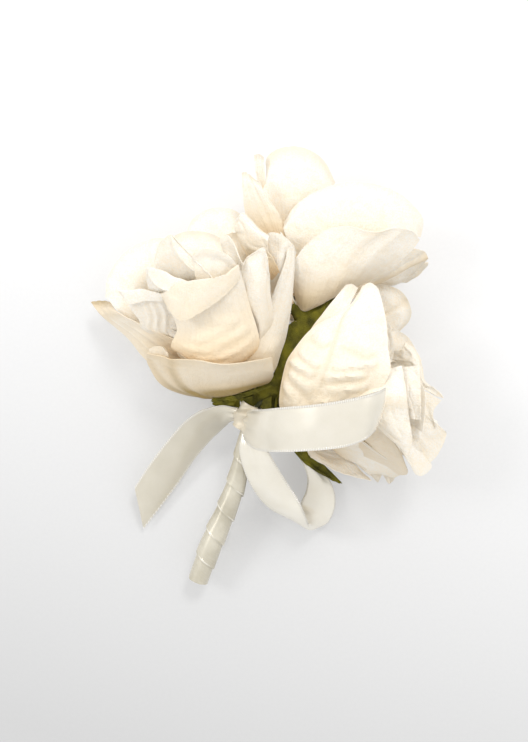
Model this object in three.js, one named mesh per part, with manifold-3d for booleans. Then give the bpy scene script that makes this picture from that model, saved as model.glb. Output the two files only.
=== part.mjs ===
// Pin-on corsage: three silk roses bound to a ribbon-wrapped stem, with a two-loop bow and a pearl pin.
// It lies on its back on a table, blooms up. Millimetres, +Z up, +Y towards the top rose.
import * as THREE from "three";
import { mergeVertices } from "three/addons/utils/BufferGeometryUtils.js";
import Module from "manifold-3d";

const wasm = await Module();
wasm.setup();

// Driving sizes: flowers
const bloomReach = 60;
const petalThickness = 0.8;
const sepalThickness = 0.8;
const hubRadius = 4;
const hubThickness = 1.2;
const whorlStep = 3.6;
const budLength = 17;
const budRadius = 3.2;
const hipLength = 5;
const hipTopRadius = 3.6;
const hipEndRadius = 1.3;
const wireRadius = 0.6;

// Driving sizes: ribbon, stem and pin
const ribbonWidth = 13;
const ribbonThickness = 0.6;
const coreTopRadius = 1.7;
const coreEndRadius = 2.3;
const coreSwell = 0.5;
const wrapTurns = 6.5;
const wrapThickness = 0.3;
const wrapRise = 0.9;
const wrapOverlap = 2;
const wireCircleRadius = 0.9;
const knotRadius = 4.3;
const knotWall = 0.6;
const knotLength = 8;
const pinLength = 32;
const pinRadius = 0.35;
const pearlRadius = 3;
const pinDepth = 1.4;

// Clearances
const touchGap = 0.3;
const leafGap = 0.42;
const wireClearance = 0.15;
const pinClearance = 0.1;
const overrun = 2;

// How places are read: the view is straight down, bloomReach spans bloomReachPixels at the binding
const viewHeight = 420;
const bindingHeight = 20;
const bloomReachPixels = 188;
const centrePixelAcross = 264;
const centrePixelDown = 371;

// Counts
const petalAcross = 4;
const petalAlong = 4;
const sepalAcross = 2;
const sepalAlong = 3;
const tubeSides = 8;
const wireSides = 6;
const knotSides = 8;
const wrapSides = 12;
const wrapCorners = 4;
const coreSteps = 5;
const wireSteps = 11;
const ribbonSplits = 2;

// Petal form: rounding of the rim's corners, and width of the root
const rimRoundingShare = 0.14;
const rootWidthShare = 0.7;
const rootRadiusShare = 0.8;

// Bud and hip forms: end radii and bulge as shares of their radius, and places along the axis in whorl steps
const budStartShare = 0.6;
const budTipShare = 0.25;
const budBulgeShare = 0.6;
const hipBulgeShare = 0.12;
const budPlaceShare = 3.5;
const hipPlaceShare = 1.5;
const budRings = 5;
const hipRings = 3;

// Every spot is [pixels across, pixels down, height as a share of bloomReach].
// A petal is rows of left, middle and right spots, from near its root to its rim or turned lip.
const roseShares = {
  left: {
    base: [243, 378, 0.38],
    heart: [210, 262, 0.67],
    heart_whorl: [
      [
        [[198, 295, 0.57], [215, 292, 0.57], [232, 292, 0.6]],
        [[190, 256, 0.77], [212, 246, 0.8], [236, 262, 0.78]],
      ],
      [
        [[228, 295, 0.57], [238, 295, 0.57], [246, 297, 0.6]],
        [[222, 250, 0.73], [233, 234, 0.75], [246, 262, 0.73]],
      ],
    ],
    inner_whorl: [
      [
        [[172, 330, 0.48], [186, 321, 0.52], [203, 314, 0.55]],
        [[146, 290, 0.68], [147, 268, 0.77], [188, 281, 0.8]],
      ],
      [
        [[246, 322, 0.57], [260, 322, 0.62], [270, 318, 0.55]],
        [[242, 276, 0.75], [264, 245, 0.77], [273, 286, 0.73]],
      ],
      [
        [[184, 334, 0.58], [218, 330, 0.66], [254, 320, 0.62]],
        [[163, 294, 0.73], [202, 279, 0.85], [240, 262, 0.82]],
      ],
    ],
    middle_whorl: [
      [
        [[160, 350, 0.36], [172, 335, 0.35], [190, 322, 0.42]],
        [[116, 302, 0.5], [122, 286, 0.6], [166, 296, 0.7]],
      ],
      [
        [[185, 305, 0.34], [202, 300, 0.36], [225, 300, 0.36]],
        [[163, 243, 0.52], [197, 228, 0.54], [239, 260, 0.5]],
      ],
      [
        [[170, 305, 0.47], [190, 300, 0.47], [215, 290, 0.5]],
        [[154, 262, 0.67], [170, 234, 0.77], [208, 274, 0.78]],
      ],
      [
        [[232, 300, 0.36], [250, 300, 0.38], [262, 300, 0.38]],
        [[222, 240, 0.58], [236, 234, 0.6], [255, 258, 0.56]],
      ],
      [
        [[196, 362, 0.5], [222, 364, 0.55], [250, 358, 0.53]],
        [[178, 338, 0.56], [220, 346, 0.64], [256, 330, 0.59]],
      ],
    ],
    outer_whorl: [
      [
        [[246, 366, 0.48], [262, 368, 0.45], [274, 368, 0.4]],
        [[267, 314, 0.56], [280, 314, 0.56], [290, 316, 0.51]],
        [[283, 256, 0.62], [290, 238, 0.635], [295, 256, 0.6]],
      ],
      [
        [[172, 384, 0.25], [222, 390, 0.42], [268, 382, 0.36]],
        [[150, 350, 0.5], [214, 360, 0.66], [273, 362, 0.58]],
      ],
      [
        [[205, 396, 0.13], [185, 378, 0.22], [200, 356, 0.45]],
        [[150, 364, 0.14], [140, 342, 0.22], [150, 329, 0.43]],
        [[112, 326, 0.18], [94, 303, 0.27], [118, 311, 0.38]],
      ],
      [
        [[165, 340, 0.25], [165, 310, 0.29], [190, 290, 0.31]],
        [[103, 300, 0.33], [112, 253, 0.4], [166, 236, 0.44]],
      ],
      [
        [[208, 305, 0.22], [228, 300, 0.22], [250, 305, 0.24]],
        [[184, 238, 0.32], [210, 204, 0.355], [247, 224, 0.39]],
      ],
      [
        [[205, 372, 0.07], [225, 352, 0.04], [248, 345, 0.07]],
        [[150, 345, 0.12], [170, 312, 0.02], [210, 292, 0.1]],
      ],
      [
        [[238, 352, 0.1], [258, 335, 0.07], [276, 338, 0.12]],
        [[215, 290, 0.1], [245, 268, 0.07], [272, 285, 0.15]],
      ],
    ],
    calyx: [
      [
        [[226, 394, 0.3], [231, 401, 0.33], [238, 406, 0.3]],
        [[212, 396, 0.32], [210, 403, 0.32], [215, 409, 0.3]],
      ],
      [
        [[258, 388, 0.34], [257, 395, 0.35], [253, 400, 0.3]],
        [[272, 384, 0.38], [276, 390, 0.37], [270, 396, 0.32]],
      ],
      [
        [[222, 388, 0.2], [226, 380, 0.17], [234, 376, 0.17]],
        [[198, 374, 0.09], [204, 364, 0.06], [214, 362, 0.05]],
      ],
      [
        [[246, 372, 0.19], [253, 370, 0.19], [260, 373, 0.2]],
        [[246, 350, 0.08], [253, 345, 0.06], [262, 350, 0.08]],
      ],
    ],
  },
  top: {
    base: [300, 316, 0.32],
    heart: [274, 215, 0.63],
    heart_whorl: [
      [
        [[268, 254, 0.61], [277, 253, 0.62], [286, 256, 0.6]],
        [[257, 226, 0.68], [268, 209, 0.7], [282, 229, 0.68]],
      ],
    ],
    inner_whorl: [
      [
        [[252, 268, 0.53], [264, 264, 0.6], [277, 262, 0.63]],
        [[234, 228, 0.63], [244, 210, 0.7], [270, 238, 0.72]],
      ],
    ],
    middle_whorl: [
      [
        [[274, 292, 0.47], [285, 290, 0.52], [294, 284, 0.47]],
        [[262, 240, 0.6], [284, 236, 0.63], [296, 256, 0.57]],
      ],
      [
        [[293, 288, 0.46], [325, 288, 0.55], [356, 284, 0.45]],
        [[298, 250, 0.62], [362, 224, 0.77], [424, 240, 0.57]],
      ],
      [
        [[260, 240, 0.45], [270, 239, 0.47], [282, 240, 0.46]],
        [[240, 186, 0.57], [244, 169, 0.61], [268, 196, 0.6]],
      ],
      [
        [[262, 215, 0.3], [270, 212, 0.3], [280, 215, 0.3]],
        [[253, 168, 0.43], [256, 152, 0.45], [268, 166, 0.45]],
      ],
    ],
    outer_whorl: [
      [
        [[274, 250, 0.34], [294, 246, 0.36], [318, 244, 0.34]],
        [[260, 177, 0.42], [296, 144, 0.46], [338, 180, 0.42]],
      ],
      [
        [[300, 262, 0.45], [336, 254, 0.51], [366, 258, 0.46]],
        [[283, 221, 0.49], [354, 178, 0.545], [428, 230, 0.44]],
      ],
      [
        [[345, 296, 0.32], [362, 288, 0.27], [368, 286, 0.2]],
        [[410, 246, 0.43], [428, 258, 0.33], [400, 284, 0.22]],
      ],
      [
        [[285, 270, 0.09], [305, 262, 0.05], [330, 268, 0.07]],
        [[275, 205, 0.17], [310, 190, 0.02], [350, 212, 0.12]],
      ],
      [
        [[330, 290, 0.1], [345, 285, 0.07], [350, 300, 0.1]],
        [[360, 235, 0.12], [392, 248, 0.02], [396, 276, 0.12]],
      ],
    ],
    calyx: [
      [
        [[292, 312, 0.37], [303, 323, 0.38], [322, 314, 0.37]],
        [[290, 296, 0.43], [306, 311, 0.44], [348, 288, 0.41]],
      ],
      [
        [[284, 300, 0.22], [290, 296, 0.18], [300, 294, 0.17]],
        [[272, 270, 0.2], [278, 260, 0.16], [292, 262, 0.14]],
      ],
      [
        [[310, 300, 0.16], [318, 302, 0.17], [324, 308, 0.19]],
        [[330, 275, 0.13], [342, 280, 0.13], [346, 292, 0.15]],
      ],
    ],
  },
  right: {
    base: [290, 405, 0.33],
    heart: [420, 412, 0.5],
    heart_whorl: [
      [
        [[378, 394, 0.47], [388, 402, 0.5], [392, 418, 0.47]],
        [[412, 374, 0.57], [426, 396, 0.6], [424, 430, 0.53]],
      ],
    ],
    inner_whorl: [
      [
        [[350, 388, 0.62], [358, 402, 0.66], [364, 420, 0.62]],
        [[400, 368, 0.7], [411, 412, 0.75], [406, 457, 0.65]],
      ],
      [
        [[366, 428, 0.5], [376, 420, 0.53], [390, 412, 0.54]],
        [[400, 452, 0.6], [416, 476, 0.51], [430, 462, 0.45]],
      ],
      [
        [[374, 374, 0.53], [382, 388, 0.55], [386, 404, 0.53]],
        [[402, 366, 0.63], [420, 386, 0.65], [412, 420, 0.63]],
      ],
    ],
    middle_whorl: [
      [
        [[280, 400, 0.43], [316, 408, 0.54], [350, 408, 0.6]],
        [[298, 340, 0.54], [346, 336, 0.665], [391, 350, 0.71]],
        [[348, 297, 0.62], [367, 280, 0.66], [380, 291, 0.66]],
      ],
      [
        [[372, 405, 0.4], [384, 425, 0.4], [390, 442, 0.38]],
        [[441, 398, 0.48], [446, 434, 0.455], [412, 466, 0.4]],
      ],
      [
        [[358, 352, 0.37], [372, 364, 0.37], [382, 382, 0.4]],
        [[406, 340, 0.42], [426, 370, 0.455], [443, 402, 0.48]],
      ],
    ],
    outer_whorl: [
      [
        [[286, 376, 0.47], [296, 374, 0.5], [306, 372, 0.53]],
        [[312, 328, 0.53], [322, 331, 0.56], [332, 334, 0.58]],
        [[337, 296, 0.58], [348, 282, 0.605], [358, 290, 0.625]],
      ],
      [
        [[345, 345, 0.2], [356, 340, 0.15], [360, 352, 0.15]],
        [[392, 286, 0.3], [414, 312, 0.25], [394, 336, 0.2]],
      ],
      [
        [[338, 350, 0.23], [348, 356, 0.17], [352, 368, 0.2]],
        [[388, 324, 0.4], [408, 338, 0.37], [414, 358, 0.33]],
      ],
      [
        [[298, 438, 0.2], [312, 448, 0.13], [326, 440, 0.1]],
        [[316, 458, 0.23], [350, 480, 0.17], [372, 466, 0.1]],
      ],
      [
        [[338, 434, 0.34], [346, 446, 0.28], [352, 452, 0.22]],
        [[366, 444, 0.46], [398, 474, 0.36], [374, 484, 0.2]],
      ],
      [
        [[330, 415, 0.08], [352, 425, 0.05], [350, 440, 0.08]],
        [[392, 412, 0.1], [412, 438, 0.02], [396, 462, 0.1]],
      ],
      [
        [[325, 375, 0.1], [350, 380, 0.06], [355, 400, 0.08]],
        [[380, 345, 0.13], [418, 372, 0.02], [412, 402, 0.1]],
      ],
    ],
    calyx: [
      [
        [[296, 436, 0.27], [304, 446, 0.24], [310, 452, 0.18]],
        [[322, 462, 0.2], [341, 484, 0.13], [322, 480, 0.12]],
      ],
      [
        [[282, 392, 0.33], [289, 384, 0.34], [301, 378, 0.34]],
        [[282, 334, 0.41], [298, 318, 0.43], [322, 312, 0.44]],
      ],
      [
        [[306, 412, 0.18], [312, 420, 0.15], [308, 428, 0.17]],
        [[330, 420, 0.1], [338, 430, 0.07], [330, 438, 0.1]],
      ],
    ],
  },
};

const stemShares = [
  [251, 415, 0.32],
  [246, 440, 0.285],
  [234, 490, 0.222],
  [212, 543, 0.157],
  [198.5, 580, 0.112],
];

// Ribbon rows are pairs of edge spots with the width kept there, as a share of ribbonWidth
const ribbonShares = {
  bow_loop_upper: [
    [[254, 411, 0.42], [248, 428, 0.4], 0.5],
    [[263, 407, 0.62], [252, 445, 0.54], 0.85],
    [[284, 403, 0.8], [272, 453, 0.72], 1],
    [[318, 397, 0.92], [306, 457, 0.85], 1],
    [[350, 391, 0.95], [340, 455, 0.9], 1],
    [[374, 385, 0.95], [362, 449, 0.92], 1],
    [[388, 376, 0.87], [372, 441, 0.84], 1],
    [[382, 386, 0.8], [368, 436, 0.77], 1],
    [[356, 396, 0.74], [343, 440, 0.72], 1],
    [[315, 405, 0.66], [303, 440, 0.62], 0.9],
    [[282, 411, 0.52], [273, 436, 0.5], 0.7],
    [[258, 416, 0.38], [252, 427, 0.36], 0.35],
  ],
  bow_loop_lower: [
    [[247, 431, 0.32], [255, 428, 0.36], 0.4],
    [[242, 447, 0.31], [262, 445, 0.4], 0.75],
    [[245, 467, 0.29], [275, 462, 0.39], 0.95],
    [[251, 486, 0.25], [286, 479, 0.36], 1],
    [[268, 506, 0.18], [295, 498, 0.32], 1],
    [[291, 518, 0.12], [303, 514, 0.3], 1],
    [[311, 528, 0.06], [308, 524, 0.27], 1],
    [[325, 524, 0.05], [304, 517, 0.2], 1],
    [[334, 511, 0.05], [300, 505, 0.15], 1],
    [[335, 496, 0.06], [306, 490, 0.14], 0.85],
    [[329, 480, 0.08], [307, 474, 0.15], 0.7],
    [[312, 462, 0.13], [298, 456, 0.2], 0.55],
    [[284, 442, 0.22], [278, 437, 0.27], 0.4],
    [[262, 430, 0.29], [260, 425, 0.32], 0.3],
  ],
  bow_tail: [
    [[238, 409, 0.33], [240, 421, 0.3], 0.4],
    [[222, 406, 0.35], [231, 421, 0.27], 0.6],
    [[203, 410, 0.35], [223, 429, 0.18], 1],
    [[185, 418, 0.3], [211, 443, 0.12], 1],
    [[168, 436, 0.23], [195, 463, 0.07], 1],
    [[150, 461, 0.17], [175, 490, 0.04], 1],
    [[134, 484, 0.12], [144, 532, 0.02], 1.2],
  ],
};
const pinHeadShare = 0.78;

const colours = {
  silk: { color: 0xf6efdf, roughness: 0.85, metalness: 0 },
  heart: { color: 0xf0dcb4, roughness: 0.85, metalness: 0 },
  sepal: { color: 0x4b5316, roughness: 0.9, metalness: 0 },
  wire: { color: 0x5c7040, roughness: 0.7, metalness: 0 },
  satin: { color: 0xe9e4d4, roughness: 0.35, metalness: 0 },
  tape: { color: 0x8a9464, roughness: 0.8, metalness: 0 },
  steel: { color: 0xc9c9cc, roughness: 0.25, metalness: 1 },
  pearl: { color: 0xf4efe6, roughness: 0.2, metalness: 0 },
};

// Reading places

function spot([across, down, heightShare]) {
  const height = heightShare * bloomReach;
  const pitch = (bloomReach / bloomReachPixels) * ((viewHeight - height) / (viewHeight - bindingHeight));
  return new THREE.Vector3((across - centrePixelAcross) * pitch, (centrePixelDown - down) * pitch, height);
}

// The curve through evenly spread rows, at a place between 0 and 1
function throughRows(points, at) {
  const last = points.length - 1;
  const sum = new THREE.Vector3();
  points.forEach((point, i) => {
    let weight = 1;
    for (let j = 0; j <= last; j++) {
      if (j !== i) weight *= (at * last - j) / (i - j);
    }
    sum.addScaledVector(point, weight);
  });
  return sum;
}

// Solids

function geometryFrom(points, triangles) {
  const geometry = new THREE.BufferGeometry();
  geometry.setAttribute("position", new THREE.Float32BufferAttribute(points.flatMap((p) => p.toArray()), 3));
  geometry.setIndex(triangles);
  return geometry;
}

function solidFrom(geometry) {
  geometry.deleteAttribute("normal");
  geometry.deleteAttribute("uv");
  const merged = mergeVertices(geometry);
  const vertProperties = merged.attributes.position.array;
  const made = (triVerts) => new wasm.Manifold(new wasm.Mesh({ numProp: 3, vertProperties, triVerts }));
  const triangles = new Uint32Array(merged.index.array);
  const solid = made(triangles);
  return solid.volume() > 0 ? solid : made(triangles.reverse());
}

function geometryOf(solid) {
  const mesh = solid.getMesh();
  const geometry = new THREE.BufferGeometry();
  geometry.setAttribute("position", new THREE.BufferAttribute(new Float32Array(mesh.vertProperties), 3));
  geometry.setIndex(new THREE.BufferAttribute(new Uint32Array(mesh.triVerts), 1));
  geometry.computeVertexNormals();
  return geometry;
}

function largestBody(solid) {
  return solid.decompose().reduce((a, b) => (a.volume() > b.volume() ? a : b));
}

// A closed sheet: pointAt(across, along) both from 0 to 1, thickened to both sides of its surface.
// grow thickens and widens it, for the room that its neighbours leave.
function sheetSolid(pointAt, acrossSteps, alongSteps, thickness, grow) {
  const grid = [];
  for (let j = 0; j <= alongSteps; j++) {
    for (let i = 0; i <= acrossSteps; i++) grid.push(pointAt(i / acrossSteps, j / alongSteps));
  }
  const wide = acrossSteps + 1;
  const at = (i, j) => grid[j * wide + i];
  const normalAt = (i, j) => {
    const side = at(Math.min(i + 1, acrossSteps), j).clone().sub(at(Math.max(i - 1, 0), j));
    const onward = at(i, Math.min(j + 1, alongSteps)).clone().sub(at(i, Math.max(j - 1, 0)));
    return side.cross(onward).normalize();
  };
  const outwardAt = (i, j) => {
    const insideAcross = THREE.MathUtils.clamp(i, 1, acrossSteps - 1);
    const insideAlong = THREE.MathUtils.clamp(j, 1, alongSteps - 1);
    const inward = at(insideAcross, insideAlong);
    return at(i, j).clone().sub(inward).normalize();
  };
  const points = [];
  for (const face of [1, -1]) {
    for (let j = 0; j <= alongSteps; j++) {
      for (let i = 0; i < wide; i++) {
        const lift = normalAt(i, j).multiplyScalar(face * (thickness / 2 + grow));
        points.push(lift.add(at(i, j)).addScaledVector(outwardAt(i, j), 2 * grow));
      }
    }
  }
  const under = grid.length;
  const triangles = [];
  for (let j = 0; j < alongSteps; j++) {
    for (let i = 0; i < acrossSteps; i++) {
      const a = j * wide + i;
      const c = a + wide;
      triangles.push(a, a + 1, c + 1, a, c + 1, c);
      triangles.push(under + a, under + c + 1, under + a + 1, under + a, under + c, under + c + 1);
    }
  }
  const rim = [];
  for (let i = 0; i < acrossSteps; i++) rim.push(i);
  for (let j = 0; j < alongSteps; j++) rim.push(j * wide + acrossSteps);
  for (let i = acrossSteps; i > 0; i--) rim.push(alongSteps * wide + i);
  for (let j = alongSteps; j > 0; j--) rim.push(j * wide);
  rim.forEach((a, n) => {
    const b = rim[(n + 1) % rim.length];
    triangles.push(a, under + a, under + b, a, under + b, b);
  });
  return solidFrom(geometryFrom(points, triangles));
}

// A thin round bar along a curve
function barSolid(curve, radius, steps, grow) {
  const section = new THREE.Shape();
  section.absarc(0, 0, radius + grow, 0, Math.PI * 2);
  const geometry = new THREE.ExtrudeGeometry(section, {
    extrudePath: curve,
    steps,
    curveSegments: wireSides,
    bevelEnabled: false,
  });
  return solidFrom(geometry);
}

// A turned solid standing on a place, its axis along a direction
function turnedSolid(profile, place, direction) {
  const geometry = new THREE.LatheGeometry(profile, tubeSides);
  const turn = new THREE.Quaternion().setFromUnitVectors(new THREE.Vector3(0, 1, 0), direction);
  geometry.applyQuaternion(turn);
  geometry.translate(...place.toArray());
  return solidFrom(geometry);
}

function roundProfile(length, startRadius, endRadius, bulgeShare, steps) {
  const profile = [new THREE.Vector2(0, 0)];
  for (let i = 0; i <= steps; i++) {
    const at = i / steps;
    const bulge = bulgeShare * startRadius * Math.sin(Math.PI * at);
    const radius = startRadius + (endRadius - startRadius) * at + bulge;
    profile.push(new THREE.Vector2(radius, length * at));
  }
  profile.push(new THREE.Vector2(0, length));
  return profile;
}

// Roses

function roseFrame(rose) {
  const base = spot(rose.base);
  const axis = spot(rose.heart).sub(base).normalize();
  return { base, axis, along: (distance) => base.clone().addScaledVector(axis, distance) };
}

function petalSurface(rows, hub, axis) {
  const spots = rows.map((row) => row.map(spot));
  const out = spots[0][1].clone().sub(hub);
  out.addScaledVector(axis, -out.dot(axis)).normalize();
  const side = spots[0][2].clone().sub(spots[0][0]);
  side.addScaledVector(axis, -side.dot(axis));
  side.addScaledVector(out, -side.dot(out)).normalize();
  const rootMiddle = hub.clone().addScaledVector(out, hubRadius * rootRadiusShare);
  const root = [-1, 0, 1].map((s) => rootMiddle.clone().addScaledVector(side, s * hubRadius * rootWidthShare));
  const all = [root, ...spots];
  return (across, along) => {
    const a = across * 2 - 1;
    const corner = Math.min(Math.abs(a), 1) ** 4 * THREE.MathUtils.clamp(along, 0, 1) ** 3;
    const reach = along * (1 - rimRoundingShare * corner);
    const [left, middle, right] = [0, 1, 2].map((k) => throughRows(all.map((row) => row[k]), reach));
    return left
      .multiplyScalar((a * (a - 1)) / 2)
      .addScaledVector(middle, 1 - a * a)
      .addScaledVector(right, (a * (a + 1)) / 2);
  };
}

function petalSolid(rows, hub, axis, grow) {
  return sheetSolid(petalSurface(rows, hub, axis), petalAcross, petalAlong, petalThickness, grow);
}

function sepalSolid(rows, hub, axis, grow) {
  return sheetSolid(petalSurface(rows, hub, axis), sepalAcross, sepalAlong, sepalThickness, grow);
}

function hubSolid(place, axis, grow) {
  const half = hubThickness / 2 + grow;
  const radius = hubRadius + grow;
  const profile = [
    new THREE.Vector2(0, -half),
    new THREE.Vector2(radius, -half),
    new THREE.Vector2(radius, half),
    new THREE.Vector2(0, half),
  ];
  return turnedSolid(profile, place, axis);
}

// A whorl of petals or sepals, joined at its hub
function whorlSolid(petals, leafSolid, hub, axis, grow) {
  const sheets = petals.map((rows) => leafSolid(rows, hub, axis, grow));
  return sheets.reduce((a, b) => a.add(b), hubSolid(hub, axis, grow));
}

function budSolid(place, axis, grow) {
  const start = place.clone().addScaledVector(axis, -grow);
  const [startRadius, tipRadius] = [budRadius * budStartShare + grow, budRadius * budTipShare + grow];
  const profile = roundProfile(budLength + 2 * grow, startRadius, tipRadius, budBulgeShare, budRings);
  return turnedSolid(profile, start, axis);
}

function hipSolid(place, axis, grow) {
  const start = place.clone().addScaledVector(axis, grow);
  const [startRadius, endRadius] = [hipTopRadius + grow, hipEndRadius + grow];
  const profile = roundProfile(hipLength + 2 * grow, startRadius, endRadius, hipBulgeShare, hipRings);
  return turnedSolid(profile, start, axis.clone().negate());
}

// Stem and wires

const stemCurve = new THREE.CatmullRomCurve3(stemShares.map(spot));
const stemLength = stemCurve.getLength();
const upward = new THREE.Vector3(0, 0, 1);
const stemTop = -knotLength / 2;
const backAngle = -Math.PI / 2;

function stemFrame(distance) {
  const at = THREE.MathUtils.clamp(distance / stemLength, 0, 1);
  const along = stemCurve.getTangentAt(at);
  const side = upward.clone().cross(along).normalize();
  const up = along.clone().cross(side);
  return { point: stemCurve.getPointAt(at), along, side, up };
}

// A place at a distance down the stem, out from its axis; angle 0 is its side, 90 degrees its front
function stemPlace(distance, radius, angle) {
  const { point, along, side, up } = stemFrame(distance);
  const past = distance - THREE.MathUtils.clamp(distance, 0, stemLength);
  return point
    .addScaledVector(along, past)
    .addScaledVector(side, radius * Math.cos(angle))
    .addScaledVector(up, radius * Math.sin(angle));
}

function coreRadiusAt(distance) {
  const at = THREE.MathUtils.clamp(distance / stemLength, 0, 1);
  return THREE.MathUtils.lerp(coreTopRadius, coreEndRadius, at) + coreSwell * Math.sin(Math.PI * at);
}

function coreSolid(grow) {
  const length = stemLength - stemTop + 2 * grow;
  const points = [stemPlace(stemTop - grow, 0, 0)];
  for (let j = 0; j <= coreSteps; j++) {
    const distance = stemTop - grow + (length * j) / coreSteps;
    for (let i = 0; i < tubeSides; i++) {
      points.push(stemPlace(distance, coreRadiusAt(distance) + grow, (i / tubeSides) * 2 * Math.PI));
    }
  }
  points.push(stemPlace(stemLength + grow, 0, 0));
  return solidFrom(geometryFrom(points, ringTriangles(tubeSides, coreSteps)));
}

// Triangles of a start point, rings of sides points each, and an end point
function ringTriangles(sides, steps) {
  const triangles = [];
  const end = 1 + sides * (steps + 1);
  for (let i = 0; i < sides; i++) {
    const next = (i + 1) % sides;
    triangles.push(0, 1 + next, 1 + i);
    for (let j = 0; j < steps; j++) {
      const a = 1 + j * sides + i;
      const b = 1 + j * sides + next;
      triangles.push(a, b, b + sides, a, b + sides, a + sides);
    }
    triangles.push(end, end - sides + i, end - sides + next);
  }
  return triangles;
}

// The ribbon wound down the stem: one unbroken band, each turn lying over the next turn's upper edge
function wrapPoints(grow) {
  const pitch = stemLength / wrapTurns;
  const width = pitch + wrapOverlap;
  const corners = [
    [-grow, -grow],
    [width + grow, wrapRise - grow],
    [width + grow, wrapRise + wrapThickness + grow],
    [-grow, wrapThickness + grow],
  ];
  const points = [];
  for (let j = 0; j <= Math.round(wrapTurns * wrapSides); j++) {
    const turn = j / wrapSides;
    for (const [across, rise] of corners) {
      const distance = stemTop + turn * pitch + across;
      points.push(stemPlace(distance, coreRadiusAt(distance) + touchGap + rise, -turn * 2 * Math.PI));
    }
  }
  return points;
}

function wrapSolid(grow) {
  const points = wrapPoints(grow);
  const last = points.length - wrapCorners;
  const triangles = [0, 1, 2, 0, 2, 3];
  for (let j = 0; j < last; j += wrapCorners) {
    for (let i = 0; i < wrapCorners; i++) {
      const a = j + i;
      const b = j + ((i + 1) % wrapCorners);
      triangles.push(a, a + wrapCorners, b + wrapCorners, a, b + wrapCorners, b);
    }
  }
  triangles.push(last, last + 2, last + 1, last, last + 3, last + 2);
  return solidFrom(geometryFrom(points, triangles)).subtract(endBlock(grow));
}

// A block past the stem's cut end, which cuts the wrap square
function endBlock(grow) {
  const side = 4 * knotRadius;
  const geometry = new THREE.BoxGeometry(side, side, side);
  const { along } = stemFrame(stemLength);
  geometry.applyQuaternion(new THREE.Quaternion().setFromUnitVectors(upward, along));
  geometry.translate(...stemPlace(stemLength + grow + side / 2, 0, 0).toArray());
  return solidFrom(geometry);
}

// The least gap between one turn of the wrap and the next, measured on points
function wrapGap() {
  const points = wrapPoints(0);
  const turn = wrapSides * wrapCorners;
  let least = Infinity;
  for (let j = 0; j + turn + 3 < points.length; j += wrapCorners) {
    const inner = points[j + 1];
    const outer = points[j + turn + 3];
    const onward = points[j + turn + 2];
    const line = new THREE.Line3(outer, onward);
    least = Math.min(least, line.closestPointToPoint(inner, true, new THREE.Vector3()).distanceTo(inner));
  }
  return least;
}

// The binding at the top of the stem: an eight-sided band with one flat side to the back
function knotSolid(grow) {
  const ring = (radius, distance) => {
    const corners = [];
    for (let i = 0; i < knotSides; i++) {
      const angle = backAngle + ((i + 0.5) / knotSides) * 2 * Math.PI;
      corners.push(stemPlace(0, radius, angle).addScaledVector(stemFrame(0).along, distance));
    }
    return corners;
  };
  const prism = (radius, half) => {
    const points = [ring(0, -half)[0], ...ring(radius, -half), ...ring(radius, half), ring(0, half)[0]];
    return solidFrom(geometryFrom(points, ringTriangles(knotSides, 1)));
  };
  const outer = prism(knotRadius + grow, knotLength / 2 + grow);
  return grow > 0 ? outer : outer.subtract(prism(knotRadius - knotWall, knotLength / 2 + overrun));
}

// A rose's wire runs from under its bud, through its hubs and hip, into the binding and down to the cut end
function wireCurve(frame, index) {
  const angle = backAngle + ((index + 0.5) * 2 * Math.PI) / 3;
  const spots = [frame.along(2 * whorlStep), frame.along(0), frame.along(-hipPlaceShare * whorlStep - hipLength)];
  for (let i = 0; i <= 4; i++) spots.push(stemPlace((stemLength * i) / 4, wireCircleRadius, angle));
  return new THREE.CatmullRomCurve3(spots, false, "centripetal");
}

// Pin

function pinLine() {
  const headDistance = pinHeadShare * stemLength;
  const headRadius = coreRadiusAt(headDistance) + touchGap + wrapRise + wrapThickness + touchGap + pearlRadius;
  const head = stemPlace(headDistance, headRadius, backAngle);
  const towards = stemPlace(headDistance - pinLength, pinDepth, backAngle);
  const direction = towards.sub(head).normalize();
  return { head, direction };
}

function pinSolid(grow) {
  const { head, direction } = pinLine();
  const start = head.clone().addScaledVector(direction, pearlRadius + touchGap - grow);
  const shank = pinLength - pearlRadius - touchGap;
  const radius = pinRadius + grow;
  const profile = [
    new THREE.Vector2(0, 0),
    new THREE.Vector2(radius, 0),
    new THREE.Vector2(radius, shank - 4 * pinRadius + grow),
    new THREE.Vector2(0, shank + 2 * grow),
  ];
  return turnedSolid(profile, start, direction);
}

function pearlSolid(grow) {
  const geometry = new THREE.SphereGeometry(pearlRadius + grow, tubeSides, tubeSides / 2);
  geometry.translate(...pinLine().head.toArray());
  return solidFrom(geometry);
}

// Ribbons

function ribbonSolid(rows, grow) {
  const middles = [];
  const sides = [];
  for (const [from, to, widthShare] of rows) {
    const a = spot(from);
    const b = spot(to);
    middles.push(a.clone().add(b).multiplyScalar(0.5));
    sides.push(b.sub(a).normalize().multiplyScalar((widthShare * ribbonWidth) / 2));
  }
  const path = new THREE.CatmullRomCurve3(middles);
  const sweep = new THREE.CatmullRomCurve3(sides);
  const surface = (across, along) => path.getPoint(along).addScaledVector(sweep.getPoint(along), across * 2 - 1);
  return sheetSolid(surface, 2, (rows.length - 1) * ribbonSplits, ribbonThickness, grow);
}

// Assembly: each piece is cut back to leave touchGap around the pieces placed before it

const corsage = new THREE.Group();
const placed = [];

function place(name, look, make, gap = touchGap) {
  const solid = largestBody(placed.reduce((left, room) => left.subtract(room), make(0)));
  placed.push(make(gap));
  const mesh = new THREE.Mesh(geometryOf(solid), new THREE.MeshStandardMaterial(colours[look]));
  mesh.name = name;
  corsage.add(mesh);
}

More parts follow.
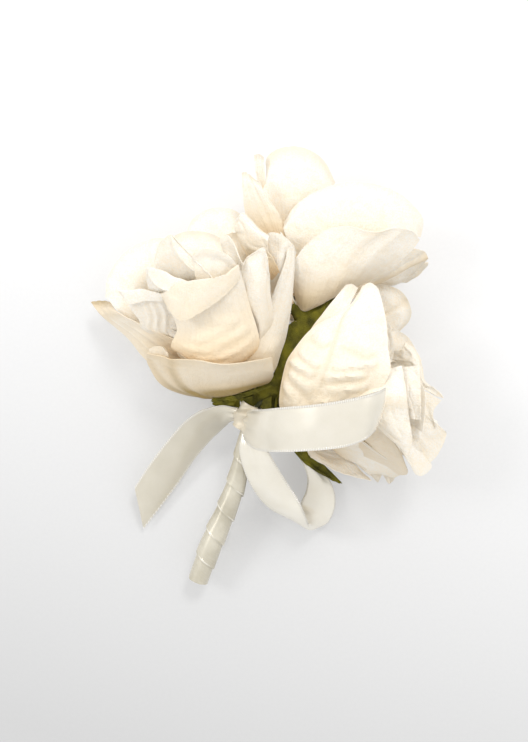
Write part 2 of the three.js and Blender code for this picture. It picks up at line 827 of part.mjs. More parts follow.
place("pin_shaft", "steel", pinSolid, pinClearance);
place("pin_pearl", "pearl", pearlSolid);
Object.keys(roseShares).forEach((side, index) => {
  const curve = wireCurve(roseFrame(roseShares[side]), index);
  place(`${side}_wire`, "wire", (grow) => barSolid(curve, wireRadius, wireSteps, grow), wireClearance);
});
place("stem_core", "tape", coreSolid);
place("stem_wrap", "satin", wrapSolid);
place("bow_knot", "satin", knotSolid);
for (const [name, rows] of Object.entries(ribbonShares)) {
  place(name, "satin", (grow) => ribbonSolid(rows, grow));
}
for (const [side, rose] of Object.entries(roseShares)) {
  const { along, axis } = roseFrame(rose);
  place(`${side}_bud`, "heart", (grow) => budSolid(along(budPlaceShare * whorlStep), axis, grow));
  place(`${side}_hip`, "sepal", (grow) => hipSolid(along(-hipPlaceShare * whorlStep), axis, grow));
  ["heart_whorl", "inner_whorl", "middle_whorl", "outer_whorl"].forEach((whorl, i) => {
    const hub = along((3 - i) * whorlStep);
    place(`${side}_${whorl}`, "silk", (grow) => whorlSolid(rose[whorl], petalSolid, hub, axis, grow), leafGap);
  });
  const hub = along(-whorlStep);
  place(`${side}_calyx`, "sepal", (grow) => whorlSolid(rose.calyx, sepalSolid, hub, axis, grow), leafGap);
}

console.log("least gap of the wrap to itself", wrapGap().toFixed(2), "mm");

const bounds = new THREE.Box3().setFromObject(corsage, true);
const middle = bounds.getCenter(new THREE.Vector3());
corsage.position.set(-middle.x, -middle.y, -bounds.min.z);

export default corsage;
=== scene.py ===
import math

import bpy
import numpy as np
from mathutils import Matrix, Vector, noise


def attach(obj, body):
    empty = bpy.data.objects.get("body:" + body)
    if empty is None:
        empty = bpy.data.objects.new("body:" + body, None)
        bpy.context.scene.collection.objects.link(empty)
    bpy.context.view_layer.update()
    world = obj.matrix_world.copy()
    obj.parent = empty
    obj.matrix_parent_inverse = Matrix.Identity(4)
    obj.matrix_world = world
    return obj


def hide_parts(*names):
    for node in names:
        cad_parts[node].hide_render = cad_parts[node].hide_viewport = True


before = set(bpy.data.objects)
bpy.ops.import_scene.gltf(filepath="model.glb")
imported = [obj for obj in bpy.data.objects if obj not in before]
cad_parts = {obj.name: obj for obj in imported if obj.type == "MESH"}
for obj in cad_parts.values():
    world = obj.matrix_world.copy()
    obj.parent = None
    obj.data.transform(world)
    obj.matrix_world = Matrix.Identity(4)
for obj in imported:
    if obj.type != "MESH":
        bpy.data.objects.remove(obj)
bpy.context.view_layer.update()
print("frame loaded")

# How places are read: [pixels across, pixels down, height in hundredths of the bloom reach]
view = {
    "height": 0.420,
    "bindingHeight": 0.020,
    "bloomReach": 0.060,
    "bloomReachPixels": 188,
    "centre": (264, 371),
    "shift": (-0.0011872, -0.0003998, 0.0008501),
    "sensor": 36.0,
    "pixelsAcross": 528,
    "clipStart": 0.01,
}


def spots(places):
    places = np.array(places, dtype=float)
    height = places[..., 2] / 100 * view["bloomReach"]
    pitch = view["bloomReach"] / view["bloomReachPixels"]
    pitch = pitch * (view["height"] - height) / (view["height"] - view["bindingHeight"])
    across = (places[..., 0] - view["centre"][0]) * pitch
    up = (view["centre"][1] - places[..., 1]) * pitch
    return np.stack([across, up, height], axis=-1) + np.array(view["shift"])


def unit(vectors):
    length = np.linalg.norm(vectors, axis=-1, keepdims=True)
    return vectors / np.maximum(length, 1e-12)


def curveThrough(points, at):
    # a smooth curve through points, which run along the first axis
    points = np.asarray(points, dtype=float)
    padded = np.concatenate([[2 * points[0] - points[1]], points, [2 * points[-1] - points[-2]]])
    at = np.clip(np.asarray(at, dtype=float), 0, 1) * (len(points) - 1)
    start = np.minimum(at.astype(int), len(points) - 2)
    t = (at - start).reshape((-1,) + (1,) * (points.ndim - 1))
    a, b, c, d = (padded[start + k] for k in range(4))
    bend = (2 * a - 5 * b + 4 * c - d) * t**2 + (3 * b - a - 3 * c + d) * t**3
    return 0.5 * (2 * b + (c - a) * t + bend)


def gridThrough(rows, across, along):
    # rows of points, each row with its own count, as one grid of along + 1 by across + 1 points
    sides = np.linspace(0, 1, across + 1)
    lines = np.stack([curveThrough(row, sides) for row in rows])
    return curveThrough(lines, np.linspace(0, 1, along + 1))


def shares(across, along):
    # how far across and how far along each point of a grid is, from 0 to 1
    return np.meshgrid(np.linspace(0, 1, across + 1), np.linspace(0, 1, along + 1))


def gridNormals(grid):
    return unit(np.cross(np.gradient(grid, axis=1), np.gradient(grid, axis=0)))


def gridSize(grid):
    # mean width, mean length and area, in metres
    sideways, onward = np.diff(grid, axis=1), np.diff(grid, axis=0)
    across = np.linalg.norm(sideways, axis=-1).sum(axis=1).mean()
    along = np.linalg.norm(onward, axis=-1).sum(axis=0).mean()
    area = np.linalg.norm(np.cross(sideways[:-1], onward[:, :-1]), axis=-1).sum()
    return across, along, area


def outAt(side, up, radius, angle):
    # the way out from an axis, on its side at angle 0 and up from it at a quarter turn
    return side * (radius * np.cos(angle))[..., None] + up * (radius * np.sin(angle))[..., None]


def grain(x, y, seed):
    # smooth noise on arrays, from -1 to 1
    flat = [noise.noise(Vector((a, b, seed))) for a, b in zip(np.ravel(x), np.ravel(y))]
    return np.array(flat).reshape(np.shape(x))


def grained(across, along, scale, seed):
    return grain(across * scale[0], along * scale[1], seed)


def ramp(x, low, high):
    t = np.clip((x - low) / (high - low), 0, 1)
    return t * t * (3 - 2 * t)


def bell(x, middle, width):
    return np.exp(-(((x - middle) / width) ** 2))


def turnTo(direction):
    return Vector(direction).normalized().to_track_quat("Z", "Y").to_matrix().to_4x4()


def deselectAll():
    bpy.ops.object.select_all(action="DESELECT")


def pick(piece):
    deselectAll()
    piece.select_set(True)
    bpy.context.view_layer.objects.active = piece


def setMode(mode):
    bpy.ops.object.mode_set(mode=mode)


def selectMesh(action):
    setMode("EDIT")
    bpy.ops.mesh.select_all(action=action)


def mergeSeam(piece, gap):
    pick(piece)
    selectMesh("SELECT")
    bpy.ops.mesh.remove_doubles(threshold=gap)


def drawOut(length, scale):
    # what is selected is drawn out along the axis and narrowed
    bpy.ops.mesh.extrude_region_move(TRANSFORM_OT_translate={"value": (0, 0, length)})
    bpy.ops.transform.resize(value=(scale, scale, 1))


def clothGrid(name, grid, folds=None):
    # a grid primitive whose corners are moved to the points of the grid; folds is a tint of painted shade at
    # each point
    along, across = grid.shape[0] - 1, grid.shape[1] - 1
    deselectAll()
    bpy.ops.mesh.primitive_grid_add(x_subdivisions=across, y_subdivisions=along, size=2)
    cloth = bpy.context.active_object
    cloth.name = name
    flat = np.empty(len(cloth.data.vertices) * 3)
    cloth.data.vertices.foreach_get("co", flat)
    flat = flat.reshape(-1, 3)
    column = np.rint((flat[:, 0] + 1) / 2 * across).astype(int)
    row = np.rint((flat[:, 1] + 1) / 2 * along).astype(int)
    cloth.data.vertices.foreach_set("co", grid[row, column].ravel())
    if folds is not None:
        cloth.data.attributes.new("fold", "FLOAT", "POINT").data.foreach_set("value", folds[row, column])
    cloth.data.update()
    return cloth


def joinAll(name, objects):
    pick(objects[0])
    for piece in objects:
        piece.select_set(True)
    bpy.ops.object.join()
    joined = bpy.context.active_object
    joined.name = name
    joined.data.name = name
    return joined


def giveWall(piece, thickness, offset=0):
    modifier = piece.modifiers.new("Solidify", "SOLIDIFY")
    modifier.thickness = thickness
    modifier.offset = offset
    pick(piece)
    bpy.ops.object.modifier_apply(modifier=modifier.name)


smoothAngles = {"soft": 60, "ribbon": 50, "turned": 40, "cap": 30}


def finishPiece(piece, body, nodes, material, smoothness):
    pick(piece)
    bpy.ops.object.shade_smooth_by_angle(angle=math.radians(smoothAngles[smoothness]))
    piece.data.materials.clear()
    piece.data.materials.append(material)
    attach(piece, body)
    if nodes:
        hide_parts(*nodes)


# Node helpers for the materials


def feed(tree, node, inputs):
    # each input is linked to a socket or set to a value
    for key, value in inputs.items():
        entry = node.inputs[key]
        if isinstance(value, bpy.types.NodeSocket):
            tree.links.new(value, entry)
        else:
            entry.default_value = (*value, 1) if entry.type == "RGBA" else value


def addNode(tree, kind, inputs=None, **settings):
    node = tree.nodes.new("ShaderNode" + kind)
    for key, value in settings.items():
        setattr(node, key, value)
    feed(tree, node, inputs or {})
    return node


def newMaterial(name, kind="BsdfPrincipled"):
    # a material with one shader, and its UV and Object coordinates
    material = bpy.data.materials.new(name)
    material.use_nodes = True
    tree = material.node_tree
    tree.nodes.clear()
    shader = addNode(tree, kind)
    addNode(tree, "OutputMaterial", {"Surface": shader.outputs[0]})
    places = addNode(tree, "TexCoord").outputs
    return material, tree, shader, places["UV"], places["Object"]


def addNoise(tree, vector, scale, detail, roughness=0.5):
    inputs = {"Vector": vector, "Scale": scale, "Detail": detail, "Roughness": roughness}
    return addNode(tree, "TexNoise", inputs).outputs["Fac"]


def addWave(tree, vector, scale, distortion=0.0, way="X"):
    inputs = {"Vector": vector, "Scale": scale, "Distortion": distortion}
    return addNode(tree, "TexWave", inputs, bands_direction=way).outputs["Fac"]


def addMapping(tree, vector, **settings):
    return addNode(tree, "Mapping", {"Vector": vector, **settings}).outputs[0]


def addMath(tree, operation, *values, **settings):
    return addNode(tree, "Math", dict(enumerate(values)), operation=operation, **settings).outputs[0]


def colourRamp(tree, fac, stops):
    # stops are (place, colour) or (place, grey)
    node = addNode(tree, "ValToRGB", {"Fac": fac})
    elements = node.color_ramp.elements
    while len(elements) < len(stops):
        elements.new(0.5)
    for element, (place, colour) in zip(elements, stops):
        element.position = place
        element.color = (*(colour if isinstance(colour, tuple) else (colour,) * 3), 1)
    return node.outputs["Color"]


def twoTones(tree, fac, settings, low, high):
    start, end = settings["stops"]
    return colourRamp(tree, fac, [(start, settings[low]), (end, settings[high])])


def mixColour(tree, fac, a, b, blend="MIX"):
    return addNode(tree, "Mix", {0: fac, 6: a, 7: b}, data_type="RGBA", blend_type=blend).outputs[2]


def addBump(tree, shader, height, strength, distance, under=None):
    inputs = {"Height": height, "Strength": strength, "Distance": distance}
    if under is not None:
        inputs["Normal"] = under
    normal = addNode(tree, "Bump", inputs).outputs["Normal"]
    feed(tree, shader, {"Normal": normal})
    return normal


def makeFlecked(name, settings):
    # two tones in a fine noise that also roughens the surface
    material, tree, shader, uv, place = newMaterial(name)
    fleck = addNoise(tree, place, *settings["noise"])
    colour = twoTones(tree, fleck, settings, "dark", "body")
    feed(tree, shader, {"Base Color": colour, **settings["shader"]})
    addBump(tree, shader, fleck, *settings["bump"])
    return material


# Petal silk: golden at the root, ivory above, with veins that fan from the root and a fine weave.
# A pattern has its noise (scale, detail, roughness), its ramp of greys, the colour it mixes in and its bump
# (strength, depth). The fold attribute is painted shade: it mixes in fold up to 1, and the darker painted
# deep shade above it.
petalSilk = {
    # the golden root and depth are painted warm shade deep in the rose
    "root": (0.93, 0.62, 0.30),
    "depth": (0.965, 0.82, 0.605),
    "flank": (0.98, 0.91, 0.79),
    "body": (0.985, 0.945, 0.865),
    # the darker rim is painted shade of rims turned away from the light
    "rim": (0.81, 0.76, 0.66),
    "mottle": (0.975, 0.895, 0.775),
    # fold is the colour of painted shade, and the next, darker one the colour of deep painted shade; the
    # veins also take fold
    "fold": (0.77, 0.63, 0.43),
    "stain": (0.40, 0.28, 0.10),
    "runs": [(0.1, "root"), (0.4, "depth"), (0.6, "flank"), (0.8, "body"), (0.89, "body"), (0.98, "rim")],
    "patterns": {
        "patches": {"noise": (90, 4, 0.6), "ramp": [(0.42, 0), (0.75, 0.5)], "colour": "mottle"},
        "veins": {"noise": (1, 3, 0.55), "ramp": [(0.47, 0), (0.72, 1)], "colour": "fold"},
        "threads": {"noise": (2300, 1), "ramp": [(0.45, 0), (0.65, 0.45)], "colour": "depth"},
        # the crumple's hollows take the depth colour, painted shade that follows the crumple bump
        "crumple": {"noise": (300, 4, 0.55), "ramp": [(0.36, 0.3), (0.52, 0)], "colour": "depth"},
    },
    "fan": (26, 1.3, 1),
    "veinFade": [(0.3, 0.3), (0.85, 0.07)],
    "weave": (46, 0.4),
    "bumps": {
        "weave": (0.25, 0.00006),
        "veins": (0.5, 0.0004),
        "crumple": (0.6, 0.0009),
        "threads": (0.6, 0.00022),
    },
    "shader": {
        "Roughness": 0.72,
        "Sheen Weight": 0.25,
        "Sheen Roughness": 0.4,
        "Subsurface Weight": 0.08,
        "Subsurface Radius": (1.0, 0.95, 0.9),
        "Subsurface Scale": 0.0008,
    },
}


def makePetalSilk(name, settings):
    material, tree, shader, uv, place = newMaterial(name)
    along = addNode(tree, "SeparateXYZ", {0: uv}).outputs["Y"]
    colour = colourRamp(tree, along, [(at, settings[key]) for at, key in settings["runs"]])
    fan = addMapping(tree, uv, Scale=settings["fan"])
    heights = {}
    for key, pattern in settings["patterns"].items():
        heights[key] = addNoise(tree, fan if key == "veins" else place, *pattern["noise"])
        fac = colourRamp(tree, heights[key], pattern["ramp"])
        if key == "veins":
            fac = addMath(tree, "MULTIPLY", fac, colourRamp(tree, along, settings["veinFade"]))
        colour = mixColour(tree, fac, colour, settings[pattern["colour"]])
    # the fold attribute carries painted shade: up to 1 it mixes in fold, above 1 the darker deep shade
    folds = addNode(tree, "Attribute", attribute_name="fold").outputs["Fac"]
    for operation, key in (("MULTIPLY", "fold"), ("SUBTRACT", "stain")):
        fac = addMath(tree, operation, folds, 1.0, use_clamp=True)
        colour = mixColour(tree, fac, colour, settings[key])
    feed(tree, shader, {"Base Color": colour, **settings["shader"]})
    warp, weft = (addWave(tree, uv, *settings["weave"], way) for way in "XY")
    heights["weave"] = addMath(tree, "ADD", warp, weft)
    under = None
    for key, (strength, distance) in settings["bumps"].items():
        under = addBump(tree, shader, heights[key], strength, distance, under)
    return material


silkMaterial = makePetalSilk("petalSilk", petalSilk)
# the heart's silk is more golden at its root and depth, painted warm shade, and has no painted rim shade
heartSilk = dict(petalSilk, root=(0.96, 0.74, 0.44), depth=(0.985, 0.87, 0.68), rim=(0.985, 0.94, 0.85))
heartMaterial = makePetalSilk("heartSilk", heartSilk)
print("petal materials made")

# Petals: curl turns the rim back, wave ruffles it, crinkle embosses the body and ruck sets its grain.
# creases are [across, width, depth], ridges [across, along, end across, end along, width, height] and
# shade patches [across, along, width, height, strength] of painted shade. lift starts the colours nearer to
# the rim's, which lightens the petal, and tint darkens it with painted shade.
petalForm = {
    "across": 34,
    "along": 34,
    "fineAcross": 44,
    "fineAlong": 76,
    "thickness": 0.00035,
    "hubRadius": 0.004,
    "rootRadiusShare": 0.8,
    "rootWidthShare": 0.7,
    "whorlStep": 0.0036,
    "innerLook": 0.05,
    "curl": 0.0006,
    "wave": 0.0001,
    "waves": 3.0,
    "waveGrain": (3, 2),
    "crinkle": 0.00006,
    "ruck": (2.2, 9),
    "ruckSharpness": 3.5,
    "ruckTint": 0.2,
    "vein": 0.00002,
    "veins": 22,
    "veinBend": 0.25,
    "ragged": 0.00012,
    "ragGrain": (23, 3),
    "ridgeStretch": 1.5,
    "ridgeEnds": 0.6,
    "ridgeTint": 0.2,
    "valleyPlace": 1.7,
    "creaseTint": 0.5,
    "fullTint": 0.0008,
    "looseLift": 0.75,
    "liftTop": 0.93,
    "freeFrom": (0.1, 0.5),
    "curlFrom": (0.8, 1.0),
    "ragFrom": (0.85, 1.0),
    "lipFrom": (0.7, 0.8),
    "rootTo": (0.3, 0.72),
}


def lobe(*rows, **form):
    # a petal or sepal: rows of spots from near the root to the rim or to the edge of its turned lip
    return dict(form, rows=rows)


# In the lobes below, tint, lipTint, rootTint and the shade patches are painted shade
leftRose = {"base": [243, 378, 38], "heart": [210, 262, 67]}
leftRose["heart_whorl"] = {
    "gold": lobe(
        [[198, 284, 76], [212, 285, 78], [230, 284, 78]],
        [[194, 256, 80], [205, 248, 85], [218, 249, 87], [229, 255, 86], [235, 264, 82]],
        tint=0.15,
    ),
    "ridge": lobe(
        [[206, 288, 66], [212, 286, 68], [218, 284, 70]],
        [[196, 257, 80], [205, 264, 82], [216, 276, 81]],
    ),
    "fold": lobe(
        [[226, 284, 66], [236, 286, 67], [245, 288, 66]],
        [[222, 238, 72], [232, 236, 76], [245, 262, 75]],
    ),
}
leftRose["inner_whorl"] = {
    "leftA": lobe(
        [[166, 322, 47], [178, 316, 50], [192, 312, 53]],
        [[150, 292, 63], [164, 290, 69], [182, 294, 73]],
        [[146, 269, 74], [160, 270, 78], [174, 277, 80], [187, 281, 81]],
        [[147, 270, 73.5], [151, 279, 75], [160, 288, 77], [172, 292, 79]],
        curl=0, lift=0.8,
    ),
    "right": lobe(
        [[252, 330, 55], [263, 329, 60], [272, 326, 53]],
        [[242, 296, 68], [249, 294, 73], [257, 292, 74], [264, 292, 72], [270, 292, 66]],
        [[241, 273, 74], [249, 266, 78], [258, 262, 79], [265, 266, 77], [270, 280, 72]],
        [[245, 265, 76], [254, 255, 79], [263, 247, 80], [266, 254, 79], [269, 268, 76]],
        creases=[[0.8, 0.04, 0.0003]], lift=0.4,
    ),
    "front": lobe(
        [[174, 350, 50], [196, 360, 56], [220, 363, 59], [241, 358, 58.5], [259, 344, 56]],
        [[177, 327, 61], [194, 323, 68], [213, 316, 72.5], [231, 308, 73.5], [249, 302, 70]],
        [[162, 296, 75], [174, 287, 79], [188, 281, 83], [208, 279, 85], [226, 274, 85], [239, 266, 84]],
        [
            [163, 299, 74.5], [170, 311, 76.5], [182, 321, 77.5], [200, 313, 80.5], [222, 298, 82],
            [240, 279, 82],
        ],
        curl=0, wave=0.0002, lipTint=0.42,
        ridges=[
            [0.5, 0.475, 0.78, 0.44, 0.016, 0.0004], [0.3, 0.4, 0.72, 0.43, 0.015, 0.0005],
            [0.42, 0.365, 0.88, 0.38, 0.016, 0.0005], [0.14, 0.35, 0.5, 0.33, 0.015, 0.0004],
            [0.3, 0.28, 0.92, 0.32, 0.016, 0.0005], [0.12, 0.25, 0.6, 0.23, 0.018, 0.0005],
        ],
    ),
}
leftRose["middle_whorl"] = {
    "lowInner": lobe(
        [[188, 364, 44], [220, 374, 50], [250, 368, 47]],
        [[172, 344, 43], [192, 352, 47], [216, 356, 49], [240, 353, 49], [257, 345, 46]],
        [[163, 326, 50], [180, 333, 51], [200, 342, 52], [224, 346, 53], [246, 341, 53], [262, 326, 52]],
        ridges=[[0.1, 0.86, 0.7, 0.83, 0.03, 0.0003], [0.3, 0.7, 0.8, 0.68, 0.03, 0.0004]], tint=0.05,
        curl=0,
    ),
    "leftB": lobe(
        [[150, 333, 40], [168, 339, 44], [188, 338, 48]],
        [[138, 318, 48], [156, 313, 55], [175, 309, 60]],
        [[119, 292, 56], [130, 291, 60], [144, 290, 64], [163, 295, 69]],
        [[121, 294, 55.5], [129, 304, 57], [145, 301, 61.5], [163, 301, 67]],
        curl=0,
        ridges=[
            [0.2, 0.34, 0.4, 0.62, 0.03, 0.0004], [0.4, 0.32, 0.6, 0.62, 0.03, 0.0004],
            [0.62, 0.32, 0.8, 0.6, 0.03, 0.0004],
        ],
        lift=0.5,
    ),
    "backTop": lobe(
        [[185, 305, 34], [202, 300, 36], [225, 300, 36]],
        [[176, 272, 49], [195, 266, 52], [210, 264, 53], [226, 270, 51]],
        [[165, 242, 52], [180, 233, 53.5], [198, 231, 54], [215, 235, 54], [230, 246, 53], [238, 258, 50]],
    ),
    "upperCentre": lobe(
        [[172, 305, 47], [186, 300, 48], [206, 292, 50]],
        [[156, 276, 62], [168, 272, 65], [182, 276, 69], [202, 280, 72]],
        [[154, 262, 66], [157, 247, 71], [165, 238, 75], [172, 236, 77], [186, 252, 78], [208, 275, 78.5]],
        curl=0.0002, lift=0.8,
    ),
    "backStrip": lobe(
        [[232, 300, 36], [250, 300, 38], [262, 300, 38]],
        [[226, 264, 52], [242, 262, 54], [256, 264, 52]],
        [[222, 238, 58], [234, 234, 60], [246, 248, 60], [254, 258, 56]],
        tint=0.4,
    ),
    "upperFold": lobe(
        [[171, 236, 77.5], [184, 250, 78.7], [196, 262, 79.2], [209, 276, 79]],
        [[173, 247, 76.5], [181, 259, 77.2], [190, 268, 77.6], [200, 277, 78]],
        loose=True, curl=0,
    ),
}
leftRose["outer_whorl"] = {
    "rightBlade": lobe(
        [[230, 363, 50], [246, 368, 49], [262, 370, 45], [273, 372, 40]],
        [[250, 350, 54], [262, 350, 53], [273, 350, 50], [281, 352, 44]],
        [[262, 327, 56], [271, 328, 54], [279, 331, 51], [287, 333, 46]],
        [[271, 300, 57], [279, 300, 57.5], [286, 300, 56], [292, 300, 53]],
        [[281, 273, 61], [286, 272, 61], [291, 271, 60], [294, 271, 58]],
        [[289, 250, 63], [290, 246, 63.5], [292, 244, 63], [294, 252, 61]],
        curl=0.0002, lift=0.25, wave=0.0001,
    ),
    "front": lobe(
        [[206, 396, 22], [216, 397, 30], [228, 396, 36], [244, 391, 40], [264, 384, 38]],
        [[167, 386, 20], [188, 388, 30], [212, 390, 42], [242, 386, 46], [272, 378, 40]],
        [[150, 364, 32], [176, 372, 44], [212, 376, 56], [245, 374, 57], [273, 369, 50]],
        [[149, 350, 45], [168, 355, 53], [194, 358, 62], [216, 362, 67], [244, 361, 65], [270, 356, 57]],
        # painted shade: rootTint, tint and the shade patch darken this petal, brown towards the calyx
        curl=0.0003, wave=0.0002, creases=[[0.24, 0.04, 0.0006], [0.12, 0.25, 0.0006]], rootTint=0.8,
        stains=[[0.6, 0.36, 0.36, 0.14, 1.5]],
        ridges=[[0.1, 0.9, 0.22, 0.35, 0.03, 0.0004], [0.3, 0.85, 0.36, 0.4, 0.03, 0.0003]], tint=0.55,
    ),
    "frontCorner": lobe(
        [[149, 349, 46], [156, 346, 48], [163, 347, 50], [168, 354, 53]],
        [[150, 354, 46], [157, 356, 47.5], [163, 357, 49], [169, 358, 52]],
        loose=True, curl=0, tint=0.6,
    ),
    "lowerTip": lobe(
        [[198, 394, 15], [190, 376, 28], [207, 355, 52]],
        [[150, 363, 16], [153, 348, 30], [166, 336, 47]],
        [[128, 338, 18], [134, 331, 29], [142, 325, 43]],
        [[102, 316, 21], [110, 314, 28], [119, 313, 38]],
        [[91, 302, 12], [100, 301, 16], [110, 302, 20]],
        # painted shade: tint, lipTint and the shade patch darken the rolled tip
        curl=0, wave=0.0001, tint=0.32, stains=[[0.5, 1, 0.9, 0.07, 0.9]], lipTint=0.4,
        ridges=[[0.3, 0.75, 0.55, 0.2, 0.03, 0.0004], [0.65, 0.7, 0.75, 0.3, 0.03, 0.0004]],
    ),
    "backLeft": lobe(
        [[165, 340, 25], [165, 310, 29], [190, 290, 31]],
        [[128, 318, 33], [136, 284, 40], [168, 262, 43]],
        [[104, 298, 32], [106, 279, 36], [116, 261, 39], [131, 247, 41], [150, 239, 43], [167, 238, 44]],
        lift=0.3,
    ),
    "backFar": lobe(
        [[208, 305, 22], [228, 300, 22], [250, 305, 24]],
        [[194, 262, 33], [215, 252, 36], [242, 262, 37]],
        [[184, 238, 32], [190, 221, 33], [204, 210, 34], [220, 207, 35], [236, 211, 37], [247, 224, 39]],
        lift=0.3,
    ),
    "underLow": lobe(
        [[205, 372, 7], [225, 352, 4], [248, 345, 7]],
        [[150, 345, 12], [170, 312, 2], [210, 292, 10]],
    ),
    "underSide": lobe(
        [[238, 352, 10], [258, 335, 7], [276, 338, 12]],
        [[215, 290, 10], [245, 268, 7], [272, 285, 15]],
    ),
}

topRose = {"base": [300, 316, 32], "heart": [274, 215, 63]}
topRose["heart_whorl"] = {
    "fold": lobe(
        [[268, 266, 50], [277, 265, 51], [287, 266, 48]],
        [[262, 241, 58], [272, 235, 60], [282, 242, 57]],
    ),
}
topRose["inner_whorl"] = {
    "left": lobe(
        [[250, 260, 55], [261, 263, 60], [275, 262, 62]],
        [[237, 236, 61], [248, 248, 65], [268, 251, 67]],
        [[235, 223, 64], [241, 219, 68.5], [253, 231, 71], [268, 241, 72]],
        [[237, 219, 65], [244, 213, 68], [255, 224, 70], [269, 236, 70.5]],
        curl=0, crinkle=0.0003,
    ),
}
topRose["middle_whorl"] = {
    "lowLeft": lobe(
        [[272, 292, 45], [282, 292, 49], [291, 289, 46]],
        [[266, 262, 57], [280, 262, 61], [293, 266, 57]],
        [[261, 237, 62], [273, 232, 64.5], [287, 238, 64], [296, 252, 60]],
        curl=0.0003, ragged=0.0001, lift=0.5,
    ),
    "front": lobe(
        [[296, 301, 43], [304, 309, 46], [316, 306, 46], [332, 298, 45], [346, 291, 42]],
        [[293, 284, 50], [308, 286, 55], [330, 282, 58], [352, 280, 56], [374, 278, 49]],
        [[294, 268, 56], [312, 262, 63], [338, 254, 67], [370, 254, 67], [408, 254, 59]],
        [
            [296, 258, 59], [308, 243, 65], [328, 229, 71], [350, 226, 75], [372, 231, 75],
            [394, 227, 73.5], [411, 230, 69], [419, 239, 63],
        ],
        curl=0.0002, wave=0.0001, creases=[[0.62, 0.05, 0.0004], [0.8, 0.03, 0.0002]], lift=0.15,
        # painted shade: rootTint and the shade patch make the lower left golden
        rootTint=0.6, stains=[[0.2, 0.3, 0.3, 0.14, 0.9]],
    ),
    "leftTip": lobe(
        [[262, 240, 46], [272, 239, 48], [285, 240, 47]],
        [[246, 214, 52], [260, 210, 54.5], [280, 216, 53]],
        [[243, 191, 56], [252, 188, 58], [267, 197, 56.5]],
        [[240, 173, 58], [246, 174, 59.5], [258, 185, 59]],
        creases=[[0.65, 0.05, 0.0003]],
    ),
    "leftSmall": lobe(
        [[262, 205, 38], [266, 204, 38], [270, 205, 38]],
        [[257, 178, 42], [260, 175, 43], [265, 178, 42]],
        [[254, 155, 43], [259, 154, 44], [264, 157, 43]],
        curl=0.0001,
    ),
}
topRose["outer_whorl"] = {
    "backTop": lobe(
        [[274, 250, 34], [288, 246, 36], [302, 244, 36], [318, 244, 34]],
        [[266, 206, 41], [286, 198, 44], [306, 198, 44], [328, 206, 41]],
        [
            [261, 176, 42], [264, 158, 44], [277, 148, 45.5], [295, 145, 46], [313, 150, 45.5],
            [327, 161, 44], [337, 182, 42],
        ],
        curl=0.0018,
    ),
    "backRight": lobe(
        [[300, 262, 45], [326, 254, 51], [350, 254, 51], [366, 258, 46]],
        [[286, 236, 50], [320, 218, 55.5], [358, 214, 56.5], [400, 234, 51]],
        [
            [282, 222, 49], [294, 205, 51], [314, 191, 53], [340, 182, 54], [368, 182, 54], [394, 189, 52],
            [412, 202, 49], [425, 219, 45], [424, 238, 42],
        ],
        curl=0.0008, lift=0.4,
    ),
    "underRight": lobe(
        [[350, 292, 34], [360, 288, 30], [370, 285, 26]],
        [[384, 272, 40], [392, 274, 37], [396, 282, 28]],
        [[412, 247, 46], [424, 250, 45], [425, 258, 41], [410, 272, 33]],
        creases=[[0.5, 0.08, 0.001]],
    ),
    "underLobe": lobe(
        [[352, 294, 26], [360, 291, 24], [370, 287, 20]],
        [[396, 268, 34], [402, 274, 30], [394, 285, 22]],
        [[416, 262, 36], [427, 260, 34], [420, 270, 29], [406, 279, 24]],
    ),
    "underTop": lobe(
        [[285, 270, 9], [305, 262, 5], [330, 268, 7]],
        [[275, 205, 17], [310, 190, 2], [350, 212, 12]],
    ),
    "underLow": lobe(
        [[330, 290, 10], [345, 285, 7], [350, 300, 10]],
        [[360, 235, 12], [392, 248, 2], [396, 276, 12]],
    ),
}

rightRose = {"base": [290, 405, 33], "heart": [420, 412, 50]}
rightRose["heart_whorl"] = {
    "fold": lobe(
        [[378, 394, 47], [388, 402, 50], [392, 418, 47]],
        [[412, 374, 57], [424, 386, 59], [427, 402, 60], [424, 430, 53]],
    ),
}
rightRose["inner_whorl"] = {
    "mid": lobe(
        [[350, 386, 62], [358, 402, 66], [364, 420, 62]],
        [[386, 370, 68], [386, 392, 71], [385, 412, 71.5], [392, 432, 70], [398, 446, 66]],
        [[402, 366, 68], [405, 385, 70], [407, 405, 71], [410, 425, 70], [412, 442, 68], [408, 455, 64]],
        curl=0.0003, crinkle=0.0003, ruck=[5, 5], creases=[[0.4, 0.05, 0.0004]], lift=0.25,
    ),
    "curl": lobe(
        [[366, 426, 50], [376, 412, 53], [392, 404, 54]],
        [[388, 430, 60], [398, 434, 62], [408, 436, 58]],
        [[402, 453, 60], [410, 467, 55], [416, 475, 51], [423, 474, 47], [430, 466, 44], [422, 456, 45]],
        curl=0.0003, crinkle=0.0003, ruck=[4, 4], lift=0.7,
    ),
    "roll": lobe(
        [[376, 376, 54], [382, 390, 56], [386, 404, 54]],
        [[401, 368, 65], [404, 392, 67], [411, 418, 65]],
        [[419, 366, 66], [420, 392, 67], [420, 419, 65]],
        curl=0.0008, crinkle=0.0003, ruck=[5, 5], lift=0.6,
    ),
}
